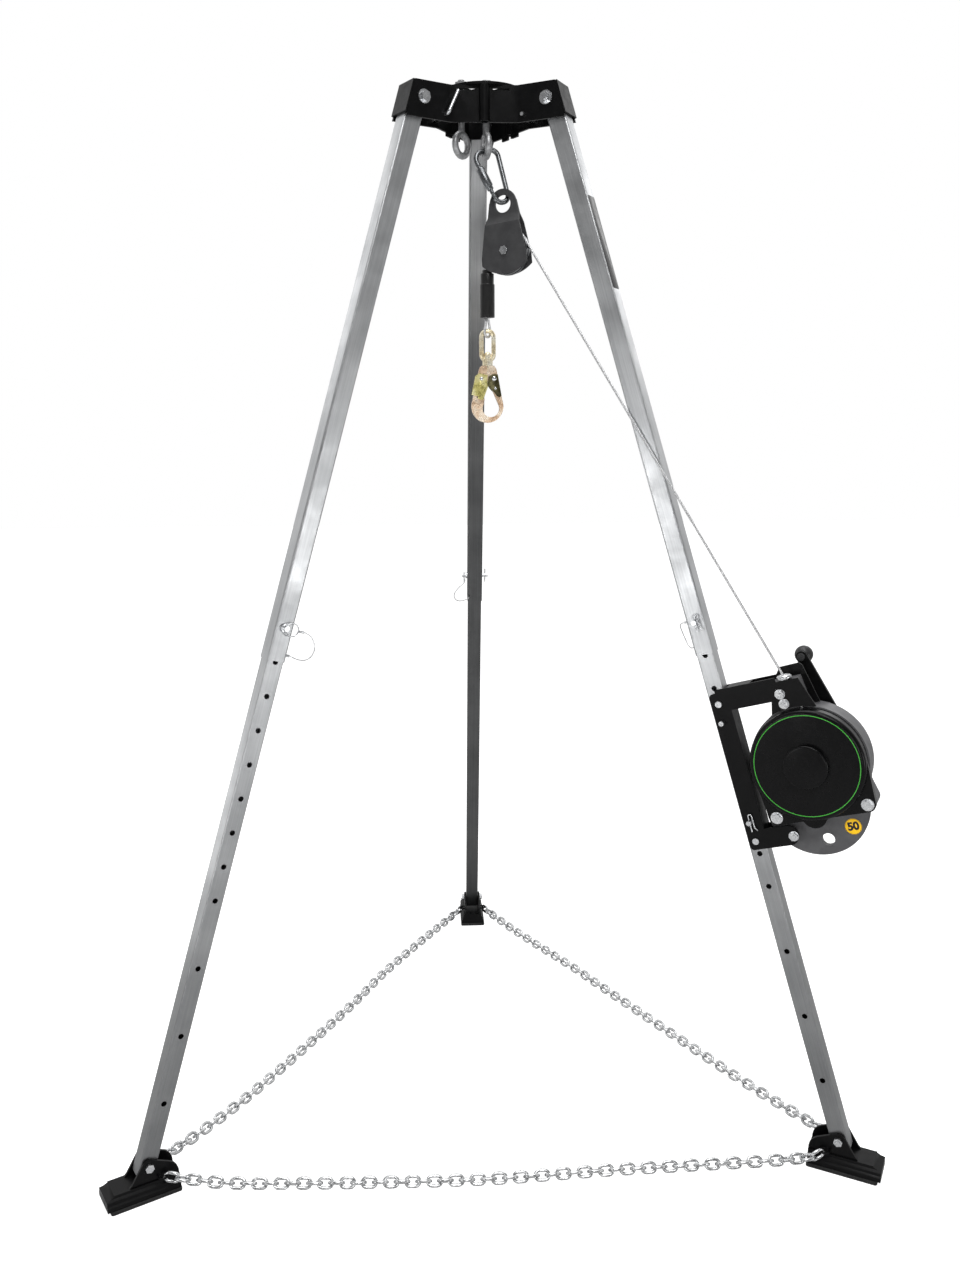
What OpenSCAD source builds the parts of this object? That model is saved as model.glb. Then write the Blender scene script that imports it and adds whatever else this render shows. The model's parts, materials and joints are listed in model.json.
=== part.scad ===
// Rescue tripod with a retrieval winch on one leg.
// Millimetres, +Z up. The origin is on the floor, at the middle of the footprint.

/* [Legs] */
// Tilt of each leg from the vertical, in degrees
leg_tilt = 17.6; // [17:0.1:18]
// Length along a leg from the pivot level to the foot bolt
leg_length = 2150; // [2120:1:2180]
// Radius of the leg centre lines at the pivot level
pivot_r = 158; // [154:1:162]
// Distance from a leg's centre line inwards to its pivot bolt
pivot_in = 6; // [5:0.5:6]
// Height of the foot bolts above the floor
foot_bolt_h = 68; // [67:1:70]
// Side of the square outer tube
outer_w = 38; // [37.8:0.1:38]
// Wall of the outer tube
outer_wall = 1.5; // [1.3:0.1:1.5]
// Length of the outer tube below the pivot level
outer_len = 1124; // [1115:1:1130]
// Side of the square inner tube
inner_w = 34.4; // [34:0.1:34.4]
// Wall of the inner tube
inner_wall = 2.2; // [1.5:0.1:3]
// Distance from the pivot level to the top of the inner tube
inner_top = 890; // [885:1:900]
// Distance from the pivot level to the lock pin
pin_s = 1057; // [1050:1:1060]
// Distance from one cross hole to the next
hole_pitch = 69; // [68.5:0.1:69]
// Diameter of the cross holes
hole_d = 11; // [10.8:0.1:12]
// Diameter of the lock pins
pin_d = 10; // [9:0.1:10.2]

/* [Head] */
// Distance from an arm's mid plane to the outer face of its cheek
cheek_out = 29; // [29:0.5:30]
// Thickness of the bent side plates
plate_t = 5; // [4:0.5:5]
// Radius from the axis to the bend of a side plate
bend_r = 91; // [88:1:94]
// Height of a plate's top edge above the pivot level
head_up = 28; // [27:1:30]
// Depth of a plate's lower edge below the pivot level
head_down = 40; // [38:1:42]
// Radius of the round top plate
top_r = 80; // [76:1:82]
// Diameter of the pivot bolts
pivot_bolt_d = 12; // [10:1:12]

/* [Feet and chains] */
// Width of a sole pad
sole_w = 70; // [66:1:74]
// Thickness of a sole pad
sole_t = 8; // [6:1:8]
// Reach of a sole outwards from its bolt
sole_out = 80; // [76:1:84]
// Reach of a sole inwards from its bolt
sole_in = 60; // [58:1:62]
// Wire diameter of the chain links
link_wire = 6.6; // [6:0.1:6.8]
// Width of a chain link
link_w = 24.5; // [23.5:0.5:25]
// Distance from one chain link to the next
link_pitch = 21.4; // [21.2:0.1:22]
// Sag of a chain at mid span
chain_sag = 20; // [10:1:24]

/* [Hanging gear] */
// Radius of the rope's centre line on the sheave
sheave_r = 44; // [43:0.5:45]
// Diameter of the wire rope
rope_d = 5; // [4:0.1:5]
// Diameter of the carabiner's rod
carabiner_d = 10; // [9:0.5:10]
// Width of the snap hook
hook_w = 66; // [64:1:68]

/* [Winch] */
// Radius of the front cover
cover_r = 110; // [106:1:110]
// Radius of the grey housing
housing_r = 113; // [112:1:114]
// Teeth on the drum gear
drum_teeth = 33; // [33:1:33]
// Teeth on the crank pinion
pinion_teeth = 13; // [13:1:13]
// Gear module
gear_module = 3; // [3:0.1:3]

/* [Hidden] */
$fn = 48;
REAR = 90;
LEFT = 210;
RIGHT = 330;
black = [0.06, 0.06, 0.065];
alloy = [0.74, 0.75, 0.76];
zinc = [0.66, 0.67, 0.68];
steel = [0.52, 0.53, 0.54];
gold = [0.78, 0.66, 0.36];
grey = [0.30, 0.30, 0.31];
slip = 0.1;        // added to a running hole's diameter
free = 0.4;        // added to a hole that a fixed bolt stands in

pivot_z = foot_bolt_h + leg_length * cos(leg_tilt);
foot_r = pivot_r + leg_length * sin(leg_tilt);
base_out = sole_out + 6;
foot_reach = foot_r + base_out;
axis_y = -(foot_reach * (1 - cos(60)) - sole_w / 2 * sin(60)) / 2;
pin_holes = [0, 1, 2, 3, 4, 5, 6, 7, 8, 10, 12, 14];

// Placement of the legs, the head's arms and the feet
module on_axis() translate([0, axis_y, pivot_z]) children();
module on_arm(a) on_axis() rotate([0, 0, a]) children();
module on_leg(a) on_arm(a) translate([pivot_r, 0, 0]) rotate([0, -leg_tilt, 0]) children();
module on_foot(a) translate([0, axis_y, 0]) rotate([0, 0, a]) translate([foot_r, 0, 0]) children();

// Rods along x and y, and a flat outline in x and z given a thickness in y
module rod_x(d, x0, x1) translate([x0, 0, 0]) rotate([0, 90, 0]) cylinder(d = d, h = x1 - x0);
module rod_y(d, y0, y1) translate([0, y0, 0]) rotate([-90, 0, 0]) cylinder(d = d, h = y1 - y0);
module slab_y(y0, y1) translate([0, y1, 0]) rotate([90, 0, 0]) linear_extrude(y1 - y0) children();
module at(x, z) translate([x, 0, z]) children();

// A hexagon nut or bolt head along y
module hex_y(across, y0, y1)
    translate([0, y0, 0]) rotate([-90, 0, 0]) cylinder(d = across / cos(30), h = y1 - y0, $fn = 6);

// A ring of round rod about the z axis
module torus(ring_r, rod_r) rotate_extrude() translate([ring_r, 0]) circle(r = rod_r);

// A square and a rectangle with round corners
module round_square(w, r) round_rect(-w / 2, -w / 2, w / 2, w / 2, r);
module round_rect(x0, y0, x1, y1, r) {
    translate([x0 + r, y0]) square([x1 - x0 - 2 * r, y1 - y0]);
    translate([x0, y0 + r]) square([x1 - x0, y1 - y0 - 2 * r]);
    for (x = [x0 + r, x1 - r], y = [y0 + r, y1 - r]) translate([x, y]) circle(r);
}

// The outline round two circles and their outer tangents, drawn a hair inside so that they cut the circles
lip = 0.02;
module strap(p, rp, q, rq) {
    strap_sides(p, rp, q, rq);
    translate(p) circle(rp);
    translate(q) circle(rq);
}
module strap_sides(p, rp, q, rq) {
    a = atan2(q[1] - p[1], q[0] - p[0]);
    b = acos((rp - rq) / norm(q - p));
    up = [cos(a + b), sin(a + b)];
    down = [cos(a - b), sin(a - b)];
    polygon([p + (rp - lip) * up, q + (rq - lip) * up, q + (rq - lip) * down, p + (rp - lip) * down]);
}

// The same outline as a solid in x and z, from y0 to y1
module bar_y(p, rp, q, rq, y0, y1) {
    slab_y(y0, y1) strap_sides(p, rp, q, rq);
    at(p[0], p[1]) rod_y(2 * rp, y0, y1);
    at(q[0], q[1]) rod_y(2 * rq, y0, y1);
}

// A rod of diameter d bent along points in x and y, with one bend radius or a list of them
// The bends are a hair thicker, and the straights run a little way into them
run_in = 0.3;
function unit(v) = v / norm(v);
function turn_at(p, i) = acos(unit(p[i] - p[i - 1]) * unit(p[i + 1] - p[i]));
function bend(r, i) = is_list(r) ? r[i] : r;
function inset(p, r, i) = i == 0 || i == len(p) - 1 ? 0 : bend(r, i) * tan(turn_at(p, i) / 2);
module bent_rod(p, r, d) {
    for (i = [0 : len(p) - 2]) {
        u = unit(p[i + 1] - p[i]);
        from = p[i] + u * (inset(p, r, i) - (i > 0 ? run_in : 0));
        to = p[i + 1] - u * (inset(p, r, i + 1) - (i < len(p) - 2 ? run_in : 0));
        translate(from) rotate([0, 0, atan2(u[1], u[0])]) rotate([0, 90, 0])
            cylinder(d = d, h = norm(to - from));
    }
    for (i = [1 : len(p) - 2]) {
        u = unit(p[i] - p[i - 1]);
        v = unit(p[i + 1] - p[i]);
        side = sign(u[0] * v[1] - u[1] * v[0]);
        start = p[i] - u * inset(p, r, i);
        centre = start + bend(r, i) * side * [-u[1], u[0]];
        first = side > 0 ? start : p[i] + v * inset(p, r, i);
        translate(centre) rotate([0, 0, atan2(first[1] - centre[1], first[0] - centre[0])])
            rotate_extrude(angle = turn_at(p, i)) translate([bend(r, i), 0]) circle(d = d + 2 * lip);
    }
}

// Head: three bent side plates, one between each pair of arms
bend_in = bend_r - plate_t * tan(15);
cheek_in = cheek_out - plate_t;
facet_r = bend_r * cos(60) + cheek_out * cos(30);
cap_x = outer_w / 2 + 1.3;
cap_t = 4;
boss_d = 21;
boss_bore = 13;
boss_set = 0.6;
boss_r = facet_r + boss_set;
head_pin_at = [104, -27];
head_pin_d = 7;
tab_w = 56;
tab_down = 7;
tab_set = 0.5;
function arm_pt(a, r, t) = [r * cos(a) - t * sin(a), r * sin(a) + t * cos(a)];

module side_plate(a, tab = false) color(black) difference() {
    far_r = pivot_r + 60;
    b = a + 120;
    mid = a + 60;
    union() {
        on_axis() translate([0, 0, -head_down]) linear_extrude(head_up + head_down) polygon([
            arm_pt(a, far_r, cheek_out), arm_pt(a, bend_r, cheek_out),
            arm_pt(b, bend_r, -cheek_out), arm_pt(b, far_r, -cheek_out),
            arm_pt(b, far_r, -cheek_in), arm_pt(b, bend_in, -cheek_in),
            arm_pt(a, bend_in, cheek_in), arm_pt(a, far_r, cheek_in)]);
        on_arm(mid) translate([boss_r, 0, boss_set - head_down])
            cylinder(d = boss_d, h = head_down + head_up - 2 * boss_set);
        if (tab) on_arm(mid) translate([facet_r - plate_t + tab_set, -tab_w / 2, -head_down - tab_down])
            cube([plate_t - 2 * tab_set, tab_w, tab_down + 1]);
    }
    on_arm(mid) translate([boss_r, 0, -head_down - tab_down - 1])
        cylinder(d = boss_bore, h = head_up + head_down + tab_down + 2);
    for (s = [-1, 1]) on_arm(mid) translate([facet_r - 2 * plate_t, s * 33 - 16, 18])
        cube([3 * plate_t, 32, 4]);
    for (e = [a, b]) {
        on_leg(e) translate([cap_x, -60, -120]) cube([200, 120, 240]);
        on_leg(e) at(-pivot_in, 0) rod_y(pivot_bolt_d + free, -40, 40);
        on_arm(e) at(head_pin_at[0], head_pin_at[1]) rod_y(head_pin_d + free, -40, 40);
    }
}

// End caps, and the upright web that closes each arm between its cheeks
web_x = head_pin_at[0] - head_pin_d / 2 - 5;
web_low = 33;
web_w = 2 * cheek_in - 0.4;
module head_end_caps() color(black) for (a = [REAR, LEFT, RIGHT]) {
    on_leg(a) translate([cap_x, -cheek_out, -head_down - 1])
        cube([cap_t, 2 * cheek_out, head_up + head_down - 5]);
    on_arm(a) translate([web_x, -web_w / 2, -web_low]) cube([4, web_w, web_low + head_up - 6]);
}

// Round top plate with six arc windows
top_t = 5;
window_in = 30;
window_out = 62;
module head_top_plate() color(black) on_axis() difference() {
    translate([0, 0, head_up]) cylinder(r = top_r, h = top_t, $fn = 96);
    for (mid = [30, 150, 270], s = [-1, 1]) rotate([0, 0, mid + s * 33 - 15]) translate([0, 0, head_up - 1])
        rotate_extrude(angle = 30) translate([window_in, 0]) square([window_out - window_in, top_t + 2]);
    for (e = eye_places) translate([e[0], e[1], head_up - 1]) cylinder(d = eye_shank + free, h = top_t + 2);
}

// Pivot bolts: bolt with head, two spacers, two washers and a nut for each leg
washer_t = 2;
bolt_head_h = 7;
module pivot_bolt() at(-pivot_in, 0) {
    face = cheek_out + washer_t;
    rod_y(pivot_bolt_d, -face - bolt_head_h - 3, face);
    hex_y(18, face, face + bolt_head_h);
    difference() {
        hex_y(18, -face - bolt_head_h, -face);
        rod_y(pivot_bolt_d + free, -60, 0);
    }
    for (s = [0, 180]) rotate([0, 0, s]) difference() {
        union() {
            rod_y(26, cheek_out, face);
            rod_y(24, outer_w / 2 + 0.3, cheek_in);
        }
        rod_y(pivot_bolt_d + free, 0, 60);
    }
}
module pivot_bolts() color(zinc) for (a = [REAR, LEFT, RIGHT]) on_leg(a) pivot_bolt();

// Bent-handle head pins
module head_pin() at(head_pin_at[0], head_pin_at[1]) rotate([0, -26, 0]) rotate([0, -90, 0])
    bent_rod([[0, -36], [0, 40], [48, 43]], 6, head_pin_d);
module head_pins() color(zinc) for (a = [REAR, LEFT, RIGHT]) on_arm(a) head_pin();

// Eyebolts: the first carries the pulley, the second is spare
eye_shank = 13;
eye_ring_r = 20.5;
eye_drops = [78, 72];
main_eye = [4.7, -44.2];
eye_places = [main_eye, arm_pt(LEFT, 50, 0)];
eye_turns = [11.5, 140];
eye_nut = 22;
eye_nuts = [8, 11];
eye_tails = [9, 15];
module eyebolt(drop, nut_h, tail) {
    translate([0, 0, -drop]) rotate([0, 90, 0]) torus(eye_ring_r, eye_shank / 2);
    translate([0, 0, eye_ring_r - drop])
        cylinder(d = eye_shank, h = head_up + top_t + drop - eye_ring_r + tail);
    for (z = [head_up - nut_h, head_up + top_t]) translate([0, 0, z]) difference() {
        cylinder(d = eye_nut / cos(30), h = nut_h, $fn = 6);
        translate([0, 0, -1]) cylinder(d = eye_shank + free, h = nut_h + 2);
    }
}
module eyebolts() color(zinc) for (i = [0, 1])
    on_axis() translate([eye_places[i][0], eye_places[i][1], 0]) rotate([0, 0, eye_turns[i]])
        eyebolt(eye_drops[i], eye_nuts[i], eye_tails[i]);

// Legs
plug_h = 26;
bore_w = outer_w - 2 * outer_wall;
pivot_round = outer_w / 2 + pivot_in;
stud_at = [-outer_w / 2, 16, -pin_s - 52];
stud_d = 6;
stud_h = 6;
module leg_upper(a) color(alloy) on_leg(a) difference() {
    union() {
        translate([0, 0, -outer_len]) linear_extrude(outer_len) difference() {
            round_square(outer_w, 4);
            round_square(bore_w, 2.5);
        }
        translate([0, 0, -plug_h]) linear_extrude(plug_h) round_square(outer_w, 4);
        intersection() {
            linear_extrude(pivot_round + 1) round_square(outer_w, 4);
            at(-pivot_in, 0) rod_y(2 * pivot_round, -outer_w, outer_w);
        }
        translate([0, stud_at[1], stud_at[2]]) rod_x(stud_d, stud_at[0] - stud_h, stud_at[0] + 1);
    }
    at(-pivot_in, 0) rod_y(pivot_bolt_d + slip, -outer_w, outer_w);
    at(0, -pin_s) rod_y(hole_d, -outer_w, outer_w);
}

foot_end = 22;
foot_bolt_d = 10;
module leg_lower(a) color(alloy) on_leg(a) difference() {
    translate([0, 0, -leg_length - foot_end]) linear_extrude(leg_length + foot_end - inner_top) difference() {
        round_square(inner_w, 3);
        round_square(inner_w - 2 * inner_wall, 1.5);
    }
    for (i = pin_holes) at(0, -pin_s - i * hole_pitch) rod_y(hole_d, -outer_w, outer_w);
    at(0, -leg_length) rod_y(foot_bolt_d + free, -outer_w, outer_w);
}

// Lock pin with its flange, pull ring and the ferrule that holds the lanyard
clip_wire = 2.4;
clip_y = -27;
ring_y = 28;
ring_r = 13;
ring_wire = 2.6;
ferrule_d = 5;
ferrule_len = 12;
module lock_pin(a) color(zinc) on_leg(a) translate([0, 0, -pin_s]) {
    difference() {
        union() {
            rod_y(pin_d, -34, 33);
            rod_y(17, outer_w / 2 + 0.4, 24);
        }
        translate([0, clip_y, 0]) cylinder(d = clip_wire + 0.8, h = 2 * pin_d, center = true);
        translate([0, ring_y, 0]) cylinder(d = ring_wire + 1.6, h = 2 * pin_d, center = true);
    }
    translate([-ring_r, ring_y, 0]) {
        rotate([90, 0, 0]) torus(ring_r, ring_wire / 2);
        rod_x(ferrule_d, -ring_r - ferrule_len, -ring_r);
    }
}

// Hairpin clip through the tip of the lock pin
clip_gap = 7;
clip_end = 12 + clip_gap / 2;
module pin_clip(a) color(zinc) on_leg(a) translate([0, clip_y, -pin_s]) hairpin();
module hairpin() rotate([90, 0, 0])
    bent_rod([[0, -20], [0, clip_end], [clip_gap, clip_end], [clip_gap, -12], [clip_gap + 5, -19]],
        clip_gap / 2 - 0.01, clip_wire);

// Wire lanyard from the ring's ferrule to the stud on the tube
lanyard_d = 2.4;
lanyard_sides = 8;
lanyard_route = [[-38, 28, 0], [-42, 28, 0], [-46, 30, -1], [-50, 34, -3], [-53, 40, -7], [-55, 46, -13],
    [-56, 52, -21], [-56, 55, -30], [-54, 54, -39], [-51, 49, -47], [-46, 42, -52], [-41, 34, -54],
    [-36, 26, -54], [-32, 19, -53], [-28, 16, -52], [-25, 16, -52]];
function tangent(p, i) = unit(p[min(i + 1, len(p) - 1)] - p[max(i - 1, 0)]);
function ring_at(p, i, r, n) = let (t = i == len(p) - 1 ? [1, 0, 0] : i == 0 ? [-1, 0, 0] : tangent(p, i),
    u = unit(cross(t, [0, 0, 1])), v = cross(u, t))
    [for (k = [0 : n - 1]) p[i] + r * (cos(360 * k / n) * u + sin(360 * k / n) * v)];
module swept_tube(p, d, n) {
    last = (len(p) - 1) * n;
    polyhedron(
        points = [for (i = [0 : len(p) - 1]) each ring_at(p, i, d / 2, n)],
        faces = concat(
            [[for (k = [0 : n - 1]) k]],
            [[for (k = [n - 1 : -1 : 0]) last + k]],
            [for (i = [0 : len(p) - 2], k = [0 : n - 1]) let (a = i * n, b = a + n, m = (k + 1) % n)
                each [[a + k, b + k, b + m], [a + k, b + m, a + m]]]));
}
module lanyard(a) color(steel) on_leg(a) translate([0, 0, -pin_s])
    swept_tube(lanyard_route, lanyard_d, lanyard_sides);

// Feet: a bracket with two cheeks and two chain eyes on a stepped base, over a sole pad
foot_in = inner_w / 2 + 0.8;
foot_t = 5;
base_top = 36;
eye_at = [-24, foot_in + foot_t + 7, 44];
eye_r = 9;
eye_wire = 4.5;
base_half = [[0, sole_t], [33, sole_t], [33, 17], [30, 20], [30, 26], [26, 30], [26, base_top], [0, base_top]];
module foot_cheek() {
    strap([-28, 38], 30, [0, foot_bolt_h], 15);
    polygon([[-58, 34], [-58, 38], [-28, 60], [0, foot_bolt_h], [13, foot_bolt_h + 7.5], [34, 42], [42, 34]]);
}
module foot_bracket(a) color(black) on_foot(a) difference() {
    union() {
        translate([2 - sole_in, 0, 0]) rotate([90, 0, 90]) linear_extrude(sole_in + base_out - 2)
            for (s = [0, 1]) mirror([s, 0]) polygon(base_half);
        for (s = [0, 1]) mirror([0, s, 0]) {
            slab_y(foot_in, foot_in + foot_t) foot_cheek();
            translate(eye_at) torus(eye_r, eye_wire / 2);
        }
    }
    at(0, foot_bolt_h) rod_y(foot_bolt_d + slip, -60, 60);
    translate([base_out - 16, -50, base_top - 2]) rotate([0, 24, 0]) cube([40, 100, 40]);
}
module foot_sole(a) color(black) on_foot(a)
    linear_extrude(sole_t) round_rect(-sole_in, -sole_w / 2, sole_out, sole_w / 2, 5);

module foot_bolt(a) color(zinc) on_leg(a) at(0, -leg_length) {
    face = foot_in + foot_t + 0.4;
    rod_y(foot_bolt_d, -face - 9, face);
    hex_y(16, face, face + 7);
    difference() {
        hex_y(16, -face - 7, -face);
        rod_y(foot_bolt_d + free, -60, 0);
    }
}

// Chains: welded links, each turned a quarter about the run from the one before
link_in = link_pitch + 0.6;
link_bend = (link_w - link_wire) / 2;
link_half = (link_in + link_wire) / 2 - link_bend;
first_link = eye_r - (eye_wire + link_wire) / 2 - 0.15 + link_half + link_bend;
function eye_pt(a, s) = let (q = arm_pt(a, foot_r + eye_at[0], s * eye_at[1])) [q[0], q[1] + axis_y, eye_at[2]];
function sag_pt(p, q, t) = p + (q - p) * t - [0, 0, 4 * chain_sag * t * (1 - t)];

module chain_link() {
    for (s = [0, 180]) rotate([0, 0, s]) {
        translate([link_half, 0, 0]) rotate([0, 0, -90]) rotate_extrude(angle = 180)
            translate([link_bend, 0]) circle(d = link_wire);
        translate([-link_half, link_bend, 0]) rotate([0, 90, 0]) cylinder(d = link_wire, h = 2 * link_half);
    }
}
module chain(a) color(zinc) {
    p = eye_pt(a, 1);
    q = eye_pt(a + 120, -1);
    run = norm(q - p);
    count = 2 * floor((run - 2 * first_link) / link_pitch / 2) + 1;
    for (i = [0 : count - 1]) {
        t = (first_link + i * (run - 2 * first_link) / (count - 1)) / run;
        along = sag_pt(p, q, t + 0.001) - sag_pt(p, q, t - 0.001);
        turn = [0, -atan2(along[2], norm([along[0], along[1]])), atan2(along[1], along[0])];
        translate(sag_pt(p, q, t)) rotate(turn) rotate([i % 2 == 0 ? 90 : 0, 0, 0]) chain_link();
    }
}

// The rope's plane: upright, from the main eye to the cable guide on the winch, so that the rope clears the leg
// Points in it are given as the distance from the eye and the height above the pivot level
guide_at = [139.4, -14, -1201.5];
guide_h = pivot_r + guide_at[0] * cos(leg_tilt) - guide_at[2] * sin(leg_tilt);
guide_xy = arm_pt(RIGHT, guide_h, guide_at[1]);
rope_az = atan2(guide_xy[1] - main_eye[1], guide_xy[0] - main_eye[0]);
module on_rope_plane() on_axis() translate([main_eye[0], main_eye[1], 0]) rotate([0, 0, rope_az]) children();

// Pulley: bent cheeks, sheave and axle, in the rope's plane
sheave_at = [45.3, -280.4];
pulley_lean = 5.3;
pulley_eye = [0, 91];
pulley_eye_r = 17;
cheek_gap = 11;
cheek_t = 3;
axle_d = 10;
sheave_w = 18;
module in_pulley() on_rope_plane() at(sheave_at[0], sheave_at[1]) rotate([0, -pulley_lean, 0]) children();
module pulley_outline() difference() {
    union() {
        intersection() {
            polygon([[-51, -60], [-51, -10], [-29, 96], [29, 96], [47, -10], [47, -60]]);
            translate([0, 29]) circle(73.5, $fn = 96);
        }
        strap(pulley_eye, 28.5, [0, 40], 35);
    }
    translate(pulley_eye) circle(pulley_eye_r);
}
module pulley_cheek() intersection() {
    slab_y(-30, 30) pulley_outline();
    translate([-80, 0, 0]) rotate([90, 0, 90]) linear_extrude(160) polygon([
        [-cheek_gap, -60], [-cheek_gap, 52], [-0.3, 68], [-0.3, 140],
        [-0.3 - cheek_t, 140], [-0.3 - cheek_t, 69], [-cheek_gap - cheek_t, 53], [-cheek_gap - cheek_t, -60]]);
}
module pulley_cheeks() color(steel) in_pulley() for (s = [0, 1]) mirror([0, s, 0]) difference() {
    pulley_cheek();
    rod_y(axle_d + free, -40, 40);
}
module pulley_sheave() color(alloy) in_pulley() rotate([90, 0, 0]) difference() {
    rotate_extrude($fn = 96) difference() {
        translate([0, -sheave_w / 2]) square([sheave_r + 2, sheave_w]);
        translate([sheave_r, 0]) circle(d = rope_d + 0.6);
        translate([sheave_r, -rope_d / 2 - 0.3]) square([20, rope_d + 0.6]);
    }
    cylinder(d = axle_d + slip, h = 60, center = true);
}
module pulley_axle() color(zinc) in_pulley() {
    face = cheek_gap + cheek_t;
    rod_y(axle_d, -face, face + 9);
    hex_y(15, -face - 6, -face);
    difference() {
        hex_y(15, face, face + 6);
        rod_y(axle_d + free, 0, 60);
    }
}

// Carabiner: rod body, gate on a hinge at its foot, sleeve on the gate
carabiner_top = -86;
carabiner_len = 107;
carabiner_pose = [-13.5, -14.9, 15];
gate_d = 8;
gate_low = [-13.5, -93.5];
gate_high = [-26, -24];
gate_dir = unit(gate_high - gate_low);
gate_len = norm(gate_high - gate_low);
gate_slope = atan2(-gate_dir[0], gate_dir[1]);
gate_knuckle = 14;
function on_gate_line(z) = gate_low + gate_dir * (z - gate_low[1]) / gate_dir[1];
module in_carabiner()
    on_axis() translate([main_eye[0], main_eye[1], carabiner_top]) rotate(carabiner_pose) children();
module on_gate() in_carabiner() at(gate_low[0], gate_low[1]) rotate([0, -gate_slope, 0]) children();
module carabiner_body() color(steel) difference() {
    in_carabiner() rotate([90, 0, 0]) bent_rod([gate_low + gate_dir * 6, on_gate_line(-carabiner_len),
        [13.5, -carabiner_len], [22, 0], on_gate_line(0), gate_high - gate_dir * 3],
        [0, 13.4, 13.4, 16, 18, 0], carabiner_d);
    on_gate() translate([-20, -2.3, -3.6]) cube([40, 4.6, 30]);
    on_gate() rod_y(4 + slip, -20, 20);
}
module carabiner_gate() color(steel) on_gate() {
    rod_y(6, -2, 2);
    translate([-3, -2, 0]) cube([6, 4, gate_knuckle]);
    rod_y(4, -5, 5);
    translate([0, 0, 9]) cylinder(d = gate_d, h = gate_len - 13.5);
}
sleeve_low = 16;
sleeve_len = 47;
module carabiner_sleeve() color(steel) on_gate() difference() {
    translate([0, 0, sleeve_low]) rotate_extrude()
        polygon([[0, 0], [6, 0], [6.6, 1], [6.6, 6], [8.5, 8], [8.5, sleeve_len - 2], [7, sleeve_len],
            [0, sleeve_len]]);
    translate([0, 0, sleeve_low - 1]) cylinder(d = gate_d + slip, h = sleeve_len + 2);
}

// Wire rope: from the drum straight to the sheave, over it, and down to the end sleeve
guide_place = [norm(guide_xy - main_eye), guide_at[0] * sin(leg_tilt) + guide_at[2] * cos(leg_tilt)];
run_vec = guide_place - sheave_at;
run_angle = atan2(run_vec[1], run_vec[0]) - asin(sheave_r / norm(run_vec));
leave_angle = run_angle + 90;
leave_at = sheave_at + sheave_r * [cos(leave_angle), sin(leave_angle)];
run_dir = [cos(run_angle), sin(run_angle)];
// The run's direction in the right leg's own frame, and where the rope passes nearest to the drum's axis
run_h = run_dir[0] * cos(rope_az - RIGHT);
leg_dir = [run_h * cos(leg_tilt) + run_dir[1] * sin(leg_tilt), run_dir[0] * sin(rope_az - RIGHT),
    run_dir[1] * cos(leg_tilt) - run_h * sin(leg_tilt)];
drum_at = [142, -1375];
flat_dir = [leg_dir[0], leg_dir[2]];
guide_flat = [guide_at[0], guide_at[2]];
past_guide = (drum_at - guide_flat) * flat_dir / (flat_dir * flat_dir);
run_len = (guide_place - leave_at) * run_dir + past_guide;
wind_r = norm(guide_flat + past_guide * flat_dir - drum_at);
core_r = 28;
drum_y0 = -20;
drum_y1 = 14;
flange_t = 4;
fall_h = sheave_at[0] - sheave_r;
sleeve_top = -314;
sleeve_bottom = -407;
module cable_run() color(zinc) {
    on_rope_plane() at(leave_at[0], leave_at[1]) rotate([0, 90 - run_angle, 0]) translate([0, 0, -run_in])
        cylinder(d = rope_d, h = run_len + run_in);
    on_rope_plane() at(sheave_at[0], sheave_at[1]) rotate([90, 0, 0]) rotate([0, 0, leave_angle])
        rotate_extrude(angle = 180 - leave_angle) translate([sheave_r, 0]) circle(d = rope_d + 2 * lip);
    on_leg(RIGHT) at(drum_at[0], drum_at[1]) difference() {
        rod_y(2 * wind_r - rope_d - 0.4, drum_y0 + flange_t + 0.3, drum_y1 - flange_t - 0.3);
        rod_y(2 * core_r + 0.6, -60, 60);
    }
}
module on_fall() on_rope_plane() translate([fall_h, 0, 0]) rotate([0, 0, -rope_az]) children();
module cable_fall() color(zinc) on_fall() translate([0, 0, sleeve_top])
    cylinder(d = rope_d, h = sheave_at[1] - sleeve_top);
module cable_sleeve() color(black) on_fall() {
    translate([0, 0, sleeve_bottom]) cylinder(d = 30, h = 65);
    translate([0, 0, sleeve_bottom + 64]) cylinder(d = 27, h = 22);
    translate([0, 0, sleeve_bottom + 85]) cylinder(d = 20, h = sleeve_top - sleeve_bottom - 85);
}

// Snap hook: swivel eye, body, gate and lock lever
link_top = -429;
eye_rod = 9;
eye_bend = 12.5;
eye_mid = link_top - eye_bend - eye_rod / 2;
eye_low = eye_mid - 34;
hook_top = -503;
stem_d = 14;
loop_top = sleeve_bottom - 0.7;
loop_low = link_top - 16.5;
module cable_eye() color(zinc) on_fall() rotate([0, 0, 50]) rotate([90, 0, 0])
    bent_rod([[-2.6, loop_top], [-12.5, loop_low], [12.5, loop_low], [2.6, loop_top]], 9.5, rope_d);
module hook_eye() color(gold) on_fall() {
    for (s = [-1, 1]) translate([s * eye_bend, 0, eye_low]) cylinder(d = eye_rod, h = eye_mid - eye_low);
    translate([0, 0, eye_mid]) rotate([90, 0, 0]) rotate_extrude(angle = 180)
        translate([eye_bend, 0]) circle(d = eye_rod);
    translate([0, 0, eye_low]) rotate([-90, 0, 0]) rotate_extrude(angle = 180)
        translate([eye_bend, 0]) circle(d = eye_rod);
    translate([0, 0, hook_top - 12]) cylinder(d = stem_d, h = eye_low - eye_bend - hook_top + 12);
    translate([0, 0, hook_top + 0.5]) cylinder(d = 21, h = 12);
    translate([0, 0, eye_low - eye_bend]) cylinder(d = 15, h = 10);
    translate([0, 0, eye_low - eye_bend + 10]) sphere(d = 15);
}
hook_t = 14;
bow_t = 18.6;
gate_pivot = [-13, -26];
lever_pivot = [12.7, -26];
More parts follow.
